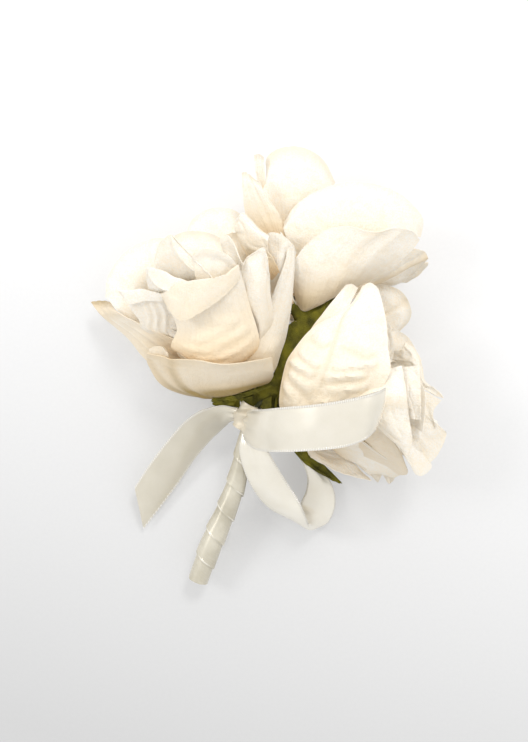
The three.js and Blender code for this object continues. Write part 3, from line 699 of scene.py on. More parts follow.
rightRose["middle_whorl"] = {
    "front": lobe(
        [[280, 407, 42], [292, 411, 47], [310, 413, 53], [332, 413, 58], [354, 413, 60]],
        [[285, 367, 50], [300, 370, 57], [328, 374, 66], [358, 378, 70], [388, 377, 71]],
        [[296, 347, 54], [314, 346, 60], [338, 344, 67], [366, 342, 71], [388, 347, 70]],
        [[314, 327, 57], [328, 322, 61], [346, 318, 66], [368, 315, 70], [386, 321, 69]],
        [[345, 310, 61], [350, 306, 63.5], [357, 301, 65.5], [368, 298, 68], [382, 302, 68]],
        [[359, 298, 63], [361, 292, 64], [365, 286, 65], [371, 283, 66], [378, 289, 66]],
        # painted shade: the shade patch and the ridges' tint
        curl=0.0001, wave=0.0001, lift=0.36, stains=[[0.02, 0.3, 0.1, 0.25, 0.9]],
        creases=[[0.47, 0.018, 0.0007]], ridgeTint=0.42,
        ridges=[
            [0.14, 0.45, 0.38, 0.37, 0.013, 0.0012], [0.1, 0.375, 0.36, 0.33, 0.016, 0.0017],
            [0.14, 0.315, 0.4, 0.275, 0.015, 0.0016], [0.08, 0.27, 0.3, 0.23, 0.016, 0.0016],
            [0.12, 0.21, 0.4, 0.2, 0.016, 0.0009], [0.56, 0.37, 0.84, 0.4, 0.014, 0.0014],
            [0.52, 0.325, 0.78, 0.35, 0.016, 0.0017], [0.55, 0.275, 0.84, 0.3, 0.014, 0.0014],
            [0.5, 0.23, 0.7, 0.25, 0.016, 0.0016], [0.2, 0.58, 0.36, 0.52, 0.02, 0.0009],
            [0.6, 0.5, 0.78, 0.46, 0.02, 0.0008],
        ],
    ),
    "frontBack": lobe(
        [[350, 374, 52], [356, 382, 52], [362, 390, 52]],
        [[372, 342, 60], [376, 352, 62], [380, 366, 64]],
        [[384, 317, 63], [391, 328, 64], [394, 345, 65], [392, 362, 65]],
        curl=0, crinkle=0.0003, lift=0.75,
    ),
    "far": lobe(
        [[372, 405, 43], [384, 425, 41], [384, 442, 31]],
        [[412, 388, 51], [418, 412, 51], [412, 436, 48], [396, 442, 45]],
        [
            [441, 400, 51], [433, 411, 51], [436, 425, 50], [446, 431, 49], [441, 446, 46], [431, 460, 44],
            [418, 463, 44], [403, 455, 45],
        ],
        crinkle=0.0004, ruck=[4, 4], lift=0.75,
    ),
    "upperFar": lobe(
        [[358, 352, 37], [372, 364, 37], [382, 382, 40]],
        [[400, 350, 47], [412, 368, 49], [416, 386, 50]],
        [[405, 340, 48], [415, 350, 50], [421, 364, 51], [424, 382, 51], [433, 392, 51], [443, 400, 50]],
        crinkle=0.0004, ruck=[5, 4], lift=0.75,
    ),
}
rightRose["outer_whorl"] = {
    "edgeStrip": lobe(
        [[286, 376, 47], [296, 374, 50], [306, 372, 53]],
        [[308, 334, 53], [318, 336, 56], [328, 338, 59]],
        [[324, 312, 56.5], [332, 316, 59], [340, 320, 61]],
        [[336, 297, 59], [343, 301, 61], [349, 306, 62]],
        [[346, 285, 60], [352, 284, 62], [358, 288, 63.5]],
        curl=0, wave=0.0001,
    ),
    "grey": lobe(
        [[345, 345, 20], [352, 340, 17], [360, 352, 15]],
        [[366, 304, 27], [380, 310, 26], [388, 320, 24], [384, 334, 20]],
        [[375, 284, 31], [390, 287, 31], [403, 294, 30], [411, 309, 27], [410, 321, 24], [399, 333, 21]],
        creases=[[0.5, 0.06, 0.0006]],
    ),
    "upperBack": lobe(
        [[338, 350, 23], [348, 356, 17], [352, 368, 20]],
        [[366, 334, 42], [378, 346, 43], [386, 362, 42]],
        [[390, 330, 46], [399, 332, 46], [408, 338, 45], [415, 348, 43], [422, 361, 42]],
        crinkle=0.0003, ruck=[5, 5], lift=0.75,
    ),
    "lowLeft": lobe(
        [[298, 438, 20], [312, 446, 14], [326, 442, 10]],
        [[312, 456, 23.5], [330, 464, 22], [350, 473, 19], [373, 479, 14]],
        crinkle=0.0004, lift=0.5,
    ),
    "low": lobe(
        [[340, 430, 42], [346, 440, 36], [350, 448, 28]],
        [[364, 428, 51], [372, 446, 47], [374, 460, 36]],
        [[384, 418, 58], [393, 436, 56], [403, 453, 53], [409, 470, 44], [400, 471, 36]],
        tint=0.5,
    ),
    "lowGrey": lobe(
        [[326, 436, 30], [332, 446, 22], [336, 452, 15]],
        [[352, 440, 40], [356, 452, 32], [358, 464, 22]],
        [
            [365, 439, 47], [378, 448, 45.5], [392, 458, 43], [404, 468, 38], [396, 474, 30],
            [384, 471, 25], [372, 471, 22],
        ],
    ),
    "tipA": lobe(
        [[346, 452, 14], [350, 458, 13], [356, 460, 13]],
        [[371, 469, 17], [378, 482, 16], [385, 469, 18]],
    ),
    "tipB": lobe(
        [[360, 456, 13], [366, 460, 13], [372, 458, 13]],
        [[387, 470, 15], [392, 482, 14], [397, 471, 15]],
    ),
    "underLow": lobe(
        [[330, 415, 8], [352, 425, 5], [350, 440, 8]],
        [[392, 412, 10], [412, 438, 2], [396, 462, 10]],
    ),
    "underUp": lobe(
        [[325, 375, 10], [350, 380, 6], [355, 400, 8]],
        [[380, 345, 13], [418, 372, 2], [412, 402, 10]],
    ),
}

roses = {"left": leftRose, "top": topRose, "right": rightRose}


def roseAxis(side):
    base, heart = spots([roses[side]["base"], roses[side]["heart"]])
    return base, unit(heart - base)


def rootRow(rows, hub, axis):
    # the petal leaves its hub at the ring's radius, on the side that its first row lies to
    first = rows[0]
    out = first[len(first) // 2] - hub
    out = unit(out - axis * out.dot(axis))
    side = first[-1] - first[0]
    side = side - axis * side.dot(axis)
    side = unit(side - out * side.dot(out))
    middle = hub + out * petalForm["hubRadius"] * petalForm["rootRadiusShare"]
    width = petalForm["hubRadius"] * petalForm["rootWidthShare"]
    return np.stack([middle + side * width * s for s in (-1, 0, 1)])


def pressRidges(form, across, along):
    # ridges stand up, each with a golden valley of painted shade beside it and less painted shade on its
    # crest
    height, tint = 0, 0
    for startAcross, startAlong, endAcross, endAlong, width, rise in form.get("ridges", []):
        run = np.array([endAcross - startAcross, endAlong - startAlong])
        at = ((across - startAcross) * run[0] + (along - startAlong) * run[1]) / (run**2).sum()
        at = np.clip(at, 0, 1)
        offset = (along - startAlong - at * run[1]) / width
        away = np.hypot((across - startAcross - at * run[0]) / (form["ridgeStretch"] * width), offset)
        crest = bell(away, 0, 1)
        height = height + rise * crest * (form["ridgeEnds"] + (1 - form["ridgeEnds"]) * np.sin(math.pi * at))
        tint = tint + form["ridgeTint"] * (bell(away, form["valleyPlace"], 1) * (offset < 0) - crest)
    return height, tint


def shapeLobe(form, hub, axis, seed):
    rows = [spots(row) for row in form["rows"]]
    if "loose" not in form:
        rows.insert(0, rootRow(rows, hub, axis))
    if form["crinkle"] > petalForm["crinkle"] or "ridges" in form:
        form.update(across=form["fineAcross"], along=form["fineAlong"])
    grid = gridThrough(rows, form["across"], form["along"])
    normals = gridNormals(grid)
    # the inner face looks to the rose's axis
    if ((hub + axis * form["innerLook"] - grid) * normals).sum() < 0:
        normals = -normals
    across, along = shares(form["across"], form["along"])
    free = ramp(along, *form["freeFrom"])
    ruffle = np.sin(2 * math.pi * (form["waves"] * across + 0.37 * seed)) * along
    ruffle = ruffle + grained(across, along, form["waveGrain"], seed * 1.7)
    move = form["wave"] * free * ruffle - 2 * form["curl"] * ramp(along, *form["curlFrom"])
    ruck = np.abs(grained(across, along, form["ruck"], seed * 3.1))
    folds = np.clip(1 - ruck * form["ruckSharpness"], 0, 1)
    move = move + form["crinkle"] * free * folds
    # tint is painted shade: in the crinkle's valleys, on the turned lip, towards the root, along creases and
    # in shade patches
    tint = form.get("tint", 0) + form["crinkle"] / form["fullTint"] * free * folds**2 * form["ruckTint"]
    tint = tint + form.get("lipTint", 0) * ramp(along, *form["lipFrom"])
    tint = tint + form.get("rootTint", 0) * (1 - ramp(along, *form["rootTo"]))
    fan = across + form["veinBend"] * grained(across, along, (2, 2), seed * 5.3) * along
    move = move + form["vein"] * free * np.sin(2 * math.pi * fan * form["veins"])
    for centre, width, depth in form.get("creases", []):
        line = free * bell(across, centre, width)
        move = move - depth * line
        tint = tint + form["creaseTint"] * depth / form["fullTint"] * line
    for centre, place, width, height, strength in form.get("stains", []):
        tint = tint + strength * bell(across, centre, width) * bell(along, place, height)
    # ridges are pressed up towards the eye
    height, valleys = pressRidges(form, across, along)
    grid = grid + normals * (move + np.sign(normals[..., 2].mean()) * height)[..., None]
    onward = unit(np.gradient(grid, axis=0))
    rag = form["ragged"] * ramp(along, *form["ragFrom"])
    rag = rag * grained(across, along, form["ragGrain"], seed * 9.1)
    return grid + onward * rag[..., None], tint + valleys


# A sheet's cloth covers between the least and the full share of its flat square
sheetShares = {"least": 0.32, "full": 0.9}
hubCloth = {"sides": 24, "share": 0.95, "inset": 0.0012, "dip": 0.0006}
hubCloth["radius"] = petalForm["hubRadius"] * hubCloth["share"]


def makeHub(name, hub, axis):
    # the disc at the middle of a die-cut whorl, dished where the wire goes through
    deselectAll()
    bpy.ops.mesh.primitive_circle_add(vertices=hubCloth["sides"], radius=hubCloth["radius"], fill_type="NGON")
    disc = bpy.context.active_object
    disc.name = name
    selectMesh("SELECT")
    for _ in range(2):
        bpy.ops.mesh.inset(thickness=hubCloth["inset"])
        bpy.ops.transform.translate(value=(0, 0, -hubCloth["dip"]))
    bpy.ops.mesh.poke()
    setMode("OBJECT")
    disc.data.transform(Matrix.Translation(Vector(hub)) @ turnTo(axis))
    return disc


def liftColour(cloth, start):
    # the pattern of a lip, or of a petal whose root is hidden, starts nearer to the rim's end, which leaves
    # out the painted root shade; on petals lying in shade it is painted light
    for corner in cloth.data.uv_layers.active.uv:
        corner.vector.y = start + (petalForm["liftTop"] - start) * corner.vector.y


def makeLobed(side, layer, cloth, lobes, steps, seeds, form, material, area=0):
    # a die-cut whorl or calyx, its hub so many steps up the rose's axis
    base, axis = roseAxis(side)
    hub = base + axis * petalForm["whorlStep"] * steps
    name = f"{side}_{layer}_{cloth}"
    pieces = [makeHub(name + "_hub", hub, axis)]
    reach = 0
    for index, (lobeName, shape) in enumerate(lobes.items()):
        grid, tint = shapeLobe(dict(form, **shape), hub, axis, seeds[0] + seeds[1] * index)
        width, length, lobeArea = gridSize(grid)
        area += lobeArea
        reach = max(reach, length)
        piece = clothGrid(f"{name}_{lobeName}", grid, tint)
        if "loose" in shape or "lift" in shape:
            liftColour(piece, shape.get("lift", form["looseLift"]))
        pieces.append(piece)
    whole = joinAll(name, pieces)
    giveWall(whole, form["thickness"])
    finishPiece(whole, "corsage", [f"{side}_{layer}"], material, "soft")
    flat = max(2 * reach, math.sqrt(area / sheetShares["full"]))
    flat = min(flat, math.sqrt(area / sheetShares["least"]))


hubArea = math.pi * hubCloth["radius"] ** 2
for side, rose in roses.items():
    for steps, layer in enumerate(("outer_whorl", "middle_whorl", "inner_whorl", "heart_whorl")):
        slot, material = ("silk_petal", silkMaterial) if steps < 3 else ("silk_heart", heartMaterial)
        seeds = (1 + 10 * steps + 100 * len(side), 1)
        makeLobed(side, layer, "silk", rose[layer], steps, seeds, petalForm, material, hubArea)
    print(side, "rose's petals made")

# Calyx: olive twill sepals with frayed edges
oliveTwill = {
    "dark": (0.03, 0.03, 0.005),
    "body": (0.21, 0.19, 0.014),
    "thread": (0.42, 0.38, 0.09),
    "mottle": (260, 3),
    "stops": (0.35, 0.7),
    "slant": 40,
    "lines": (22, 0.6),
    "lineRamp": [(0.55, 0), (0.95, 0.45)],
    "bump": (0.6, 0.0002),
    "shader": {"Roughness": 0.85, "Specular IOR Level": 0.12},
}

sepalForm = dict(petalForm, thickness=0.0003, fineAcross=20, fineAlong=24, curl=0.0002, wave=0.0003)
sepalForm.update(crinkle=0.0003, vein=0.00003, ragged=0.0009)

leftRose["calyx"] = {
    "nearLeft": lobe(
        [[228, 392, 31], [233, 399, 34], [240, 405, 31]],
        [[220, 395, 33], [224, 403, 34.5], [232, 411, 31]],
        [[213, 396, 33], [212, 403, 33], [218, 410, 30]],
    ),
    "nearRight": lobe(
        [[256, 386, 35], [258, 396, 34.5], [255, 406, 30]],
        [[268, 381, 37.5], [271, 392, 36], [266, 405, 31]],
        [[278, 366, 38.5], [283, 388, 36], [277, 404, 31]],
    ),
    "strip": lobe(
        [[236, 395, 33], [240, 393, 37], [244, 391, 37]],
        [[224, 397, 34.5], [236, 396, 39], [254, 391, 40]],
        [[218, 398, 36], [238, 399, 40], [271, 386, 41]],
    ),
    "under": lobe(
        [[222, 388, 20], [226, 380, 17], [234, 376, 17]],
        [[198, 374, 9], [204, 364, 6], [214, 362, 5]],
    ),
    "back": lobe(
        [[246, 372, 19], [253, 370, 19], [260, 373, 20]],
        [[246, 350, 8], [253, 345, 6], [262, 350, 8]],
    ),
}
topRose["calyx"] = {
    "near": lobe(
        [[294, 318, 33], [302, 326, 33], [314, 320, 33]],
        [[289, 306, 40], [304, 324, 42], [332, 308, 39]],
        [[290, 296, 43], [306, 311, 44], [348, 288, 41]],
    ),
    "left": lobe(
        [[284, 300, 22], [290, 296, 18], [300, 294, 17]],
        [[272, 270, 20], [278, 260, 16], [292, 262, 14]],
    ),
    "under": lobe(
        [[310, 300, 16], [318, 302, 17], [324, 308, 19]],
        [[330, 275, 13], [342, 280, 13], [346, 292, 15]],
    ),
}
rightRose["calyx"] = {
    "spike": lobe(
        [[290, 440, 28], [300, 448, 25], [308, 452, 20]],
        [[296, 454, 23], [306, 461, 20], [318, 459, 17]],
        [[312, 467, 17], [320, 472, 16], [327, 468, 14]],
        [[334, 481, 13], [339, 483, 13], [342, 482, 12]],
    ),
    "above": lobe(
        [[279, 392, 36], [286, 384, 38], [298, 378, 38]],
        [[275, 366, 40], [290, 352, 43], [310, 342, 45]],
        [[282, 332, 42], [296, 320, 44], [326, 306, 46]],
    ),
    "under": lobe(
        [[306, 412, 18], [312, 420, 15], [308, 428, 17]],
        [[330, 420, 10], [338, 430, 7], [330, 438, 10]],
    ),
}


def makeOliveTwill(settings):
    material, tree, shader, uv, place = newMaterial("oliveTwill")
    mottle = addNoise(tree, place, *settings["mottle"])
    base = twoTones(tree, mottle, settings, "dark", "body")
    turned = addMapping(tree, uv, Rotation=(0, 0, math.radians(settings["slant"])))
    twill = addWave(tree, turned, *settings["lines"])
    colour = mixColour(tree, colourRamp(tree, twill, settings["lineRamp"]), base, settings["thread"])
    feed(tree, shader, {"Base Color": colour, **settings["shader"]})
    addBump(tree, shader, twill, *settings["bump"])
    return material


oliveMaterial = makeOliveTwill(oliveTwill)
for side, rose in roses.items():
    seeds = (51 + len(side), 7)
    makeLobed(side, "calyx", "twill", rose["calyx"], -1, seeds, sepalForm, oliveMaterial)
print("calyxes made")

# Satin ribbon: a shimmer across its threads, and a picot edge in ribs
satin = {
    "body": (0.81, 0.765, 0.665),
    "edge": (0.96, 0.945, 0.90),
    "picot": (0.74, 0.69, 0.58),
    "shade": (0.73, 0.685, 0.575),
    "threads": (150, 22, 1),
    "threadNoise": (1, 2),
    "threadShare": 0.35,
    "cloudNoise": (120, 3),
    "cloudShare": 0.65,
    "stops": (0.3, 0.6),
    "edgeRamp": [(0.445, 0), (0.46, 1)],
    "ribs": 6.2,
    "threadBump": (0.15, 0.0001),
    "ribBump": (0.8, 0.0002),
    "shader": {
        "Roughness": 0.27,
        "Specular IOR Level": 0.8,
        "Metallic": 0.35,
        "Anisotropic": 0.6,
        "Sheen Weight": 0.15,
        "Subsurface Weight": 0.08,
        "Subsurface Radius": (1.0, 0.9, 0.7),
        "Subsurface Scale": 0.001,
    },
}


def makeSatin(name, **tones):
    settings = dict(satin, **tones)
    material, tree, shader, uv, place = newMaterial(name)
    threads = addMapping(tree, uv, Scale=settings["threads"])
    warp = addNoise(tree, threads, *settings["threadNoise"])
    cloud = addNoise(tree, place, *settings["cloudNoise"])
    both = addMath(tree, "MULTIPLY", warp, settings["threadShare"])
    both = addMath(tree, "MULTIPLY_ADD", cloud, settings["cloudShare"], both)
    base = twoTones(tree, both, settings, "shade", "body")
    across = addNode(tree, "SeparateXYZ", {0: uv}).outputs["X"]
    fromMiddle = addMath(tree, "ABSOLUTE", addMath(tree, "SUBTRACT", across, 0.5))
    edge = colourRamp(tree, fromMiddle, settings["edgeRamp"])
    rib = addWave(tree, uv, settings["ribs"], way="Y")
    loops = mixColour(tree, rib, settings["picot"], settings["edge"])
    colour = mixColour(tree, edge, base, loops)
    tangent = addNode(tree, "Tangent", direction_type="UV_MAP").outputs[0]
    feed(tree, shader, {"Base Color": colour, "Tangent": tangent, **settings["shader"]})
    under = addBump(tree, shader, warp, *settings["threadBump"])
    addBump(tree, shader, addMath(tree, "MULTIPLY", rib, edge), *settings["ribBump"], under)
    return material


# Each ribbon row is its two edges and the share of the ribbon's width kept there
ribbon = {
    "width": 0.013,
    "thickness": 0.00025,
    "across": 24,
    "along": 220,
    "gather": 0.00035,
    "gatherReach": 0.1,
    "gatherFolds": 9,
    "sway": 0.00025,
    "swayGrain": (1.2, 7),
    "edgeRise": 0.00008,
    "edgeFrom": 0.93,
}

bowLoopUpper = {
    "held": "gathered",
    "bulge": 0.0007,
    "seed": 2,
    "rows": [
        [[249, 411, 38], [242, 428, 35], 0.55],
        [[253, 409, 50], [245, 441, 43], 0.85],
        [[264, 407, 66], [256, 452, 57], 1.05],
        [[284, 403, 80], [274, 456, 71], 1.12],
        [[318, 397, 90], [306, 458, 82], 1.12],
        [[350, 391, 93], [340, 456, 87], 1.12],
        [[374, 385, 93], [362, 449, 90], 1.08],
        [[388, 377, 87], [372, 441, 84], 1],
        [[382, 386, 80], [368, 436, 77], 1],
        [[356, 396, 74], [343, 440, 72], 1],
        [[315, 405, 66], [303, 440, 62], 0.9],
        [[282, 411, 52], [273, 436, 50], 0.7],
        [[258, 416, 38], [252, 427, 36], 0.35],
    ],
}
bowLoopLower = {
    "held": "gathered",
    "bulge": 0.0011,
    "seed": 5,
    "rows": [
        [[244, 430, 32], [254, 427, 36], 0.45],
        [[242, 447, 33], [262, 445, 37], 0.68],
        [[245, 467, 31], [272, 462, 36], 0.82],
        [[252, 487, 27], [285, 480, 33], 0.9],
        [[269, 506, 20], [295, 498, 30], 0.94],
        [[291, 518, 13], [303, 514, 29], 1],
        [[311, 528, 6], [308, 524, 27], 1],
        [[325, 524, 5], [304, 517, 20], 1],
        [[334, 511, 5], [300, 505, 15], 1],
        [[335, 496, 6], [306, 490, 14], 0.85],
        [[329, 480, 8], [307, 474, 15], 0.7],
        [[312, 462, 13], [298, 456, 20], 0.55],
        [[284, 442, 22], [278, 437, 27], 0.4],
        [[262, 430, 29], [260, 425, 32], 0.3],
    ],
}
bowTail = {
    "held": "laid",
    "bulge": 0.0006,
    "seed": 9,
    "rows": [
        [[238, 409, 33], [240, 421, 30], 0.4],
        [[222, 406, 35], [231, 421, 27], 0.6],
        [[203, 410, 35], [223, 429, 18], 1.02],
        [[185, 418, 30], [211, 443, 12], 1.06],
        [[168, 436, 23], [195, 463, 7], 1.06],
        [[150, 461, 17], [175, 490, 4], 1.06],
        [[134, 484, 12], [144, 532, 2], 1.2],
    ],
}


def finishRibbon(name, cloth, thickness, material):
    giveWall(cloth, thickness)
    finishPiece(cloth, "corsage", [name], material, "ribbon")


def makeRibbon(name, form, material):
    first, second, widths = zip(*form["rows"])
    first, second = spots(first), spots(second)
    widths = np.array(widths)[:, None] * ribbon["width"] / 2
    across, along = shares(ribbon["across"], ribbon["along"])
    across = 2 * across - 1
    path = curveThrough((first + second) / 2, along[:, 0])
    sweep = curveThrough(unit(second - first) * widths, along[:, 0])
    grid = path[:, None] + sweep[:, None] * across[..., None]
    normals = gridNormals(grid)
    gather = bell(along, 0, ribbon["gatherReach"])
    if form["held"] == "gathered":
        gather = gather + bell(along, 1, ribbon["gatherReach"])
    move = ribbon["gather"] * gather * np.sin(across * ribbon["gatherFolds"] + form["seed"])
    move = move + ribbon["sway"] * grained(across, along, ribbon["swayGrain"], form["seed"])
    move = move + ribbon["edgeRise"] * (np.abs(across) > ribbon["edgeFrom"])
    # the ribbon bulges to the side that its first third shows
    shown = np.sign(normals[: len(along) // 3, :, 2].mean())
    move = move + shown * form["bulge"] * (1 - across**2)
    grid = grid + normals * move[..., None]
    length = gridSize(grid)[1]
    strip = clothGrid(name + "_satin", grid)
    # the pattern's length is counted in ribbon widths
    for corner in strip.data.uv_layers.active.uv:
        corner.vector.y *= length / ribbon["width"]
    finishRibbon(name, strip, ribbon["thickness"], material)


upperSatin = makeSatin("satinRibbon")
# the lower loop's satin is a lighter copy, painted light, and the tail's a darker copy, painted shade; both
# are the same ribbon
litLowerSatin = makeSatin("satinLowerLit", body=(0.92, 0.88, 0.78), shade=(0.84, 0.79, 0.67))
shadedTailSatin = makeSatin("satinTailShaded", body=(0.71, 0.665, 0.56), shade=(0.63, 0.585, 0.48))
makeRibbon("bow_loop_upper", bowLoopUpper, upperSatin)
makeRibbon("bow_loop_lower", bowLoopLower, litLowerSatin)
makeRibbon("bow_tail", bowTail, shadedTailSatin)
print("bow made")

# Stem: taped core, ribbon wound down it, and the binding
stem = {
    "spots": [[251, 415, 32], [246, 440, 28.5], [234, 490, 22.2], [212, 543, 15.7], [198.5, 580, 11.2]],
    "top": -0.003,
    "radii": [0.0017, 0.0020, 0.0024, 0.0027, 0.0029, 0.0023],
    "gap": 0.0003,
    "steps": 400,
}
wrap = {
    "turns": 6.6,
    "spare": 0.45,
    "overlap": 0.0022,
    "rise": 0.00065,
    "sway": 0.00012,
    "swayGrain": (5, 2),
    "seed": 3.3,
    "thickness": 0.00028,
    "startAngle": 0.6,
    "stepsPerTurn": 40,
    "across": 14,
}
knot = {
    "spots": [[253, 405, 34.5], [241, 428, 32.5]],
    "radius": 0.0038,
    "folds": 1.7,
    "foldSwing": 3,
    "foldDepth": 0.00035,
    "sway": 0.0004,
    "swayGrain": (1.6, 4),
    "seed": 7.7,
    "waist": 0.0006,
    "lap": 0.0003,
    "backWidth": 0.12,
    "thickness": 0.0003,
    "seamGap": 0.00001,
    "around": 96,
    "along": 26,
}

stemLine = curveThrough(spots(stem["spots"]), np.linspace(0, 1, stem["steps"]))
stemSteps = np.concatenate([[0], np.cumsum(np.linalg.norm(np.diff(stemLine, axis=0), axis=1))])
stemLength = stemSteps[-1]


def onLine(line, distance):
    return np.stack([np.interp(distance, stemSteps, line[:, k]) for k in range(3)], axis=-1)


def stemPlaces(distance, radius, angle):
    # distance down the stem, radius out from its axis; angle 0 is its right side, 90 degrees its front
    distance, radius, angle = np.broadcast_arrays(distance, radius, angle)
    inside = np.clip(distance, 0, stemLength)
    point = onLine(stemLine, inside)
    along = unit(onLine(np.gradient(stemLine, stemSteps, axis=0), inside))
    side = unit(np.cross(np.array([0.0, 0.0, 1.0]), along))
    point = point + along * (distance - inside)[..., None]
    return point + outAt(side, np.cross(along, side), radius, angle)


def coreRadius(distance):
    share = np.clip(distance / stemLength, 0, 1)
    return curveThrough(stem["radii"], np.ravel(share)).reshape(np.shape(share))


def makeWrap(material):
    pitch = stemLength / wrap["turns"]
    width = pitch + wrap["overlap"]
    steps = round((wrap["turns"] + wrap["spare"]) * wrap["stepsPerTurn"])
    across, turn = shares(wrap["across"], steps)
    turn = turn * steps / wrap["stepsPerTurn"]
    distance = stem["top"] + turn * pitch + across * width
    lift = (wrap["rise"] + wrap["sway"] * grained(turn, across, wrap["swayGrain"], wrap["seed"])) * across
    angle = wrap["startAngle"] - turn * 2 * math.pi
    grid = stemPlaces(distance, coreRadius(distance) + stem["gap"] + lift, angle)
    band = clothGrid("stem_wrap_satin", grid)
    # cut square at the stem's end
    pick(band)
    selectMesh("SELECT")
    endPlace, endNormal = stemPlaces(stemLength, 0.0, 0.0), unit(stemLine[-1] - stemLine[-2])
    bpy.ops.mesh.bisect(plane_co=endPlace, plane_no=endNormal, clear_outer=True, use_fill=False)
    setMode("OBJECT")
    finishRibbon("stem_wrap", band, wrap["thickness"], material)


def makeKnot(material):
    share, along = shares(knot["around"], knot["along"])
    along = along - 0.5
    turn = share * 2 * math.pi
    angle = turn - math.pi / 2
    swing = knot["foldSwing"] * np.sin(turn)
    fold = knot["foldDepth"] * np.sin(2 * math.pi * knot["folds"] * along + swing)
    wide, tall = knot["swayGrain"]
    sway = grain(wide * np.cos(angle), wide * np.sin(angle) + tall * along, knot["seed"])
    fold = fold + knot["sway"] * sway
    waist = knot["waist"] * (2 * along) ** 2
    back = bell((share + 0.5) % 1, 0.5, knot["backWidth"])
    radius = knot["radius"] - (fold + waist) * (1 - back)
    radius = radius - knot["lap"] * np.abs((share + 0.5 * along) % 1 - 0.5)
    start, end = spots(knot["spots"])
    side = unit(np.cross([0.0, 0.0, 1.0], end - start))
    up = np.cross(unit(end - start), side)
    grid = start + (end - start) * (along[..., None] + 0.5) + outAt(side, up, radius, angle)
    width, length, area = gridSize(grid)
    band = clothGrid("bow_knot_satin", grid)
    mergeSeam(band, knot["seamGap"])
    bpy.ops.mesh.normals_make_consistent(inside=False)
    setMode("OBJECT")
    finishRibbon("bow_knot", band, knot["thickness"], material)
    area = min(area, ribbon["width"] * width)


# the wrap's satin is a darker copy of the ribbon's satin, painted shade
wrapShadeTones = {
    "body": (0.69, 0.645, 0.53),
    "shade": (0.47, 0.43, 0.33),
    "edge": (0.82, 0.78, 0.68),
    "picot": (0.56, 0.52, 0.41),
}
# the knot's satin is darker, browner and rougher than the ribbon's
knotTones = {
    "body": (0.72, 0.65, 0.52),
    "shade": (0.50, 0.44, 0.33),
    "edge": (0.82, 0.76, 0.64),
    "picot": (0.50, 0.44, 0.33),
    "shader": dict(satin["shader"], Roughness=0.5),
}
makeWrap(makeSatin("satinWrap", **wrapShadeTones))
makeKnot(makeSatin("satinKnot", **knotTones))
print("stem wrapped")

# Taped core, and the wires that run from the blooms through their hips into it
tape = {
    "noise": (900, 4),
    "stops": (0.35, 0.6),
    "dark": (0.33, 0.28, 0.16),
    "body": (0.62, 0.55, 0.40),
    "shader": {"Roughness": 0.85},
    "bump": (0.8, 0.0004),
}
tubeSeam = 0.000001
core = {"steps": 90, "sides": 32, "endGap": 0.0002, "inside": 0.0001, "ridge": 0.00012, "tapePitch": 0.0045}
wire = {
    "steps": 150,
    "sides": 14,
    "radius": 0.0007,
    "ripple": 0.00012,
    "rippleRate": 1.3,
    "fromAxis": 0.0009,
    "end": 0.97,
}
hip = {
    "stepsDown": 1.5,
    "length": 0.005,
    "topRadius": 0.0036,
    "endRadius": 0.0013,
    "taper": 0.8,
    "belly": 0.0003,
    "ribs": 5,
    "ribDepth": 0.06,
    "steps": 24,
    "sides": 40,
}


def tubeGrid(points, radii, sides):
    # rings about a path, with frames carried along it
    along = unit(np.gradient(points, axis=0))
    side = unit(np.cross(along[0], [0.3, 0.2, 1.0]))
    angles = np.linspace(0, 2 * math.pi, sides + 1)
    rings = []
    for place, direction, radius in zip(points, along, radii):
        side = unit(side - direction * side.dot(direction))
        rings.append(place + outAt(side, np.cross(direction, side), radius, angles))
    return np.array(rings)


def closedTube(name, grid):
    # seam merged and both ends filled
    tube = clothGrid(name, grid)
    mergeSeam(tube, tubeSeam)
    bpy.ops.mesh.select_all(action="DESELECT")
    bpy.ops.mesh.select_non_manifold(extend=False)
    bpy.ops.mesh.edge_face_add()
    bpy.ops.mesh.select_all(action="SELECT")
    bpy.ops.mesh.normals_make_consistent(inside=False)
    setMode("OBJECT")
    return tube


def makeCore():
    distance = np.linspace(stem["top"], stemLength - core["endGap"], core["steps"])[:, None]
    angles = np.linspace(0, 2 * math.pi, core["sides"] + 1)[None, :]
    radius = coreRadius(distance) - core["inside"]
    radius = radius + core["ridge"] * np.sin((distance / core["tapePitch"]) * 2 * math.pi)
    tube = closedTube("stem_core_tape", stemPlaces(distance, radius, angles))
    finishPiece(tube, "corsage", ["stem_core"], makeFlecked("floralTape", tape), "turned")


def makeWires(material):
    step = petalForm["whorlStep"]
    stalk = hip["stepsDown"] * step + hip["length"]
    for index, side in enumerate(roses):
        base, axis = roseAxis(side)
        path = [base + axis * 2 * step, base, base - axis * stalk]
        angle = -math.pi / 2 + (index + 0.5) * 2 * math.pi / 3
        down = np.linspace(0, stemLength * wire["end"], 5)
        path += list(stemPlaces(down, wire["fromAxis"], angle))
        points = curveThrough(np.array(path), np.linspace(0, 1, wire["steps"]))
        radii = wire["radius"] + wire["ripple"] * np.sin(np.arange(wire["steps"]) * wire["rippleRate"])
        tube = closedTube(f"{side}_wire_taped", tubeGrid(points, radii, wire["sides"]))
        finishPiece(tube, "corsage", [f"{side}_wire"], material, "ribbon")


makeCore()
makeWires(makeFlecked("wireTape", dict(tape, body=(0.06, 0.06, 0.018), dark=(0.02, 0.022, 0.006))))
print("core and wires made")

# Hips and buds
bud = {
    "length": 0.017,
    "radius": 0.0032,
    "thickness": 0.00025,
    "turns": 2.6,
    "steps": 150,
    "rings": 30,
    "stepsUp": 3.5,
    "neck": 0.55,
    "belly": 0.6,
    "bellyPlace": 0.8,
    "tipTaper": 0.35,
    "innerRadius": 0.25,
    "innerLength": 0.86,
    "rimWave": 0.3,
}


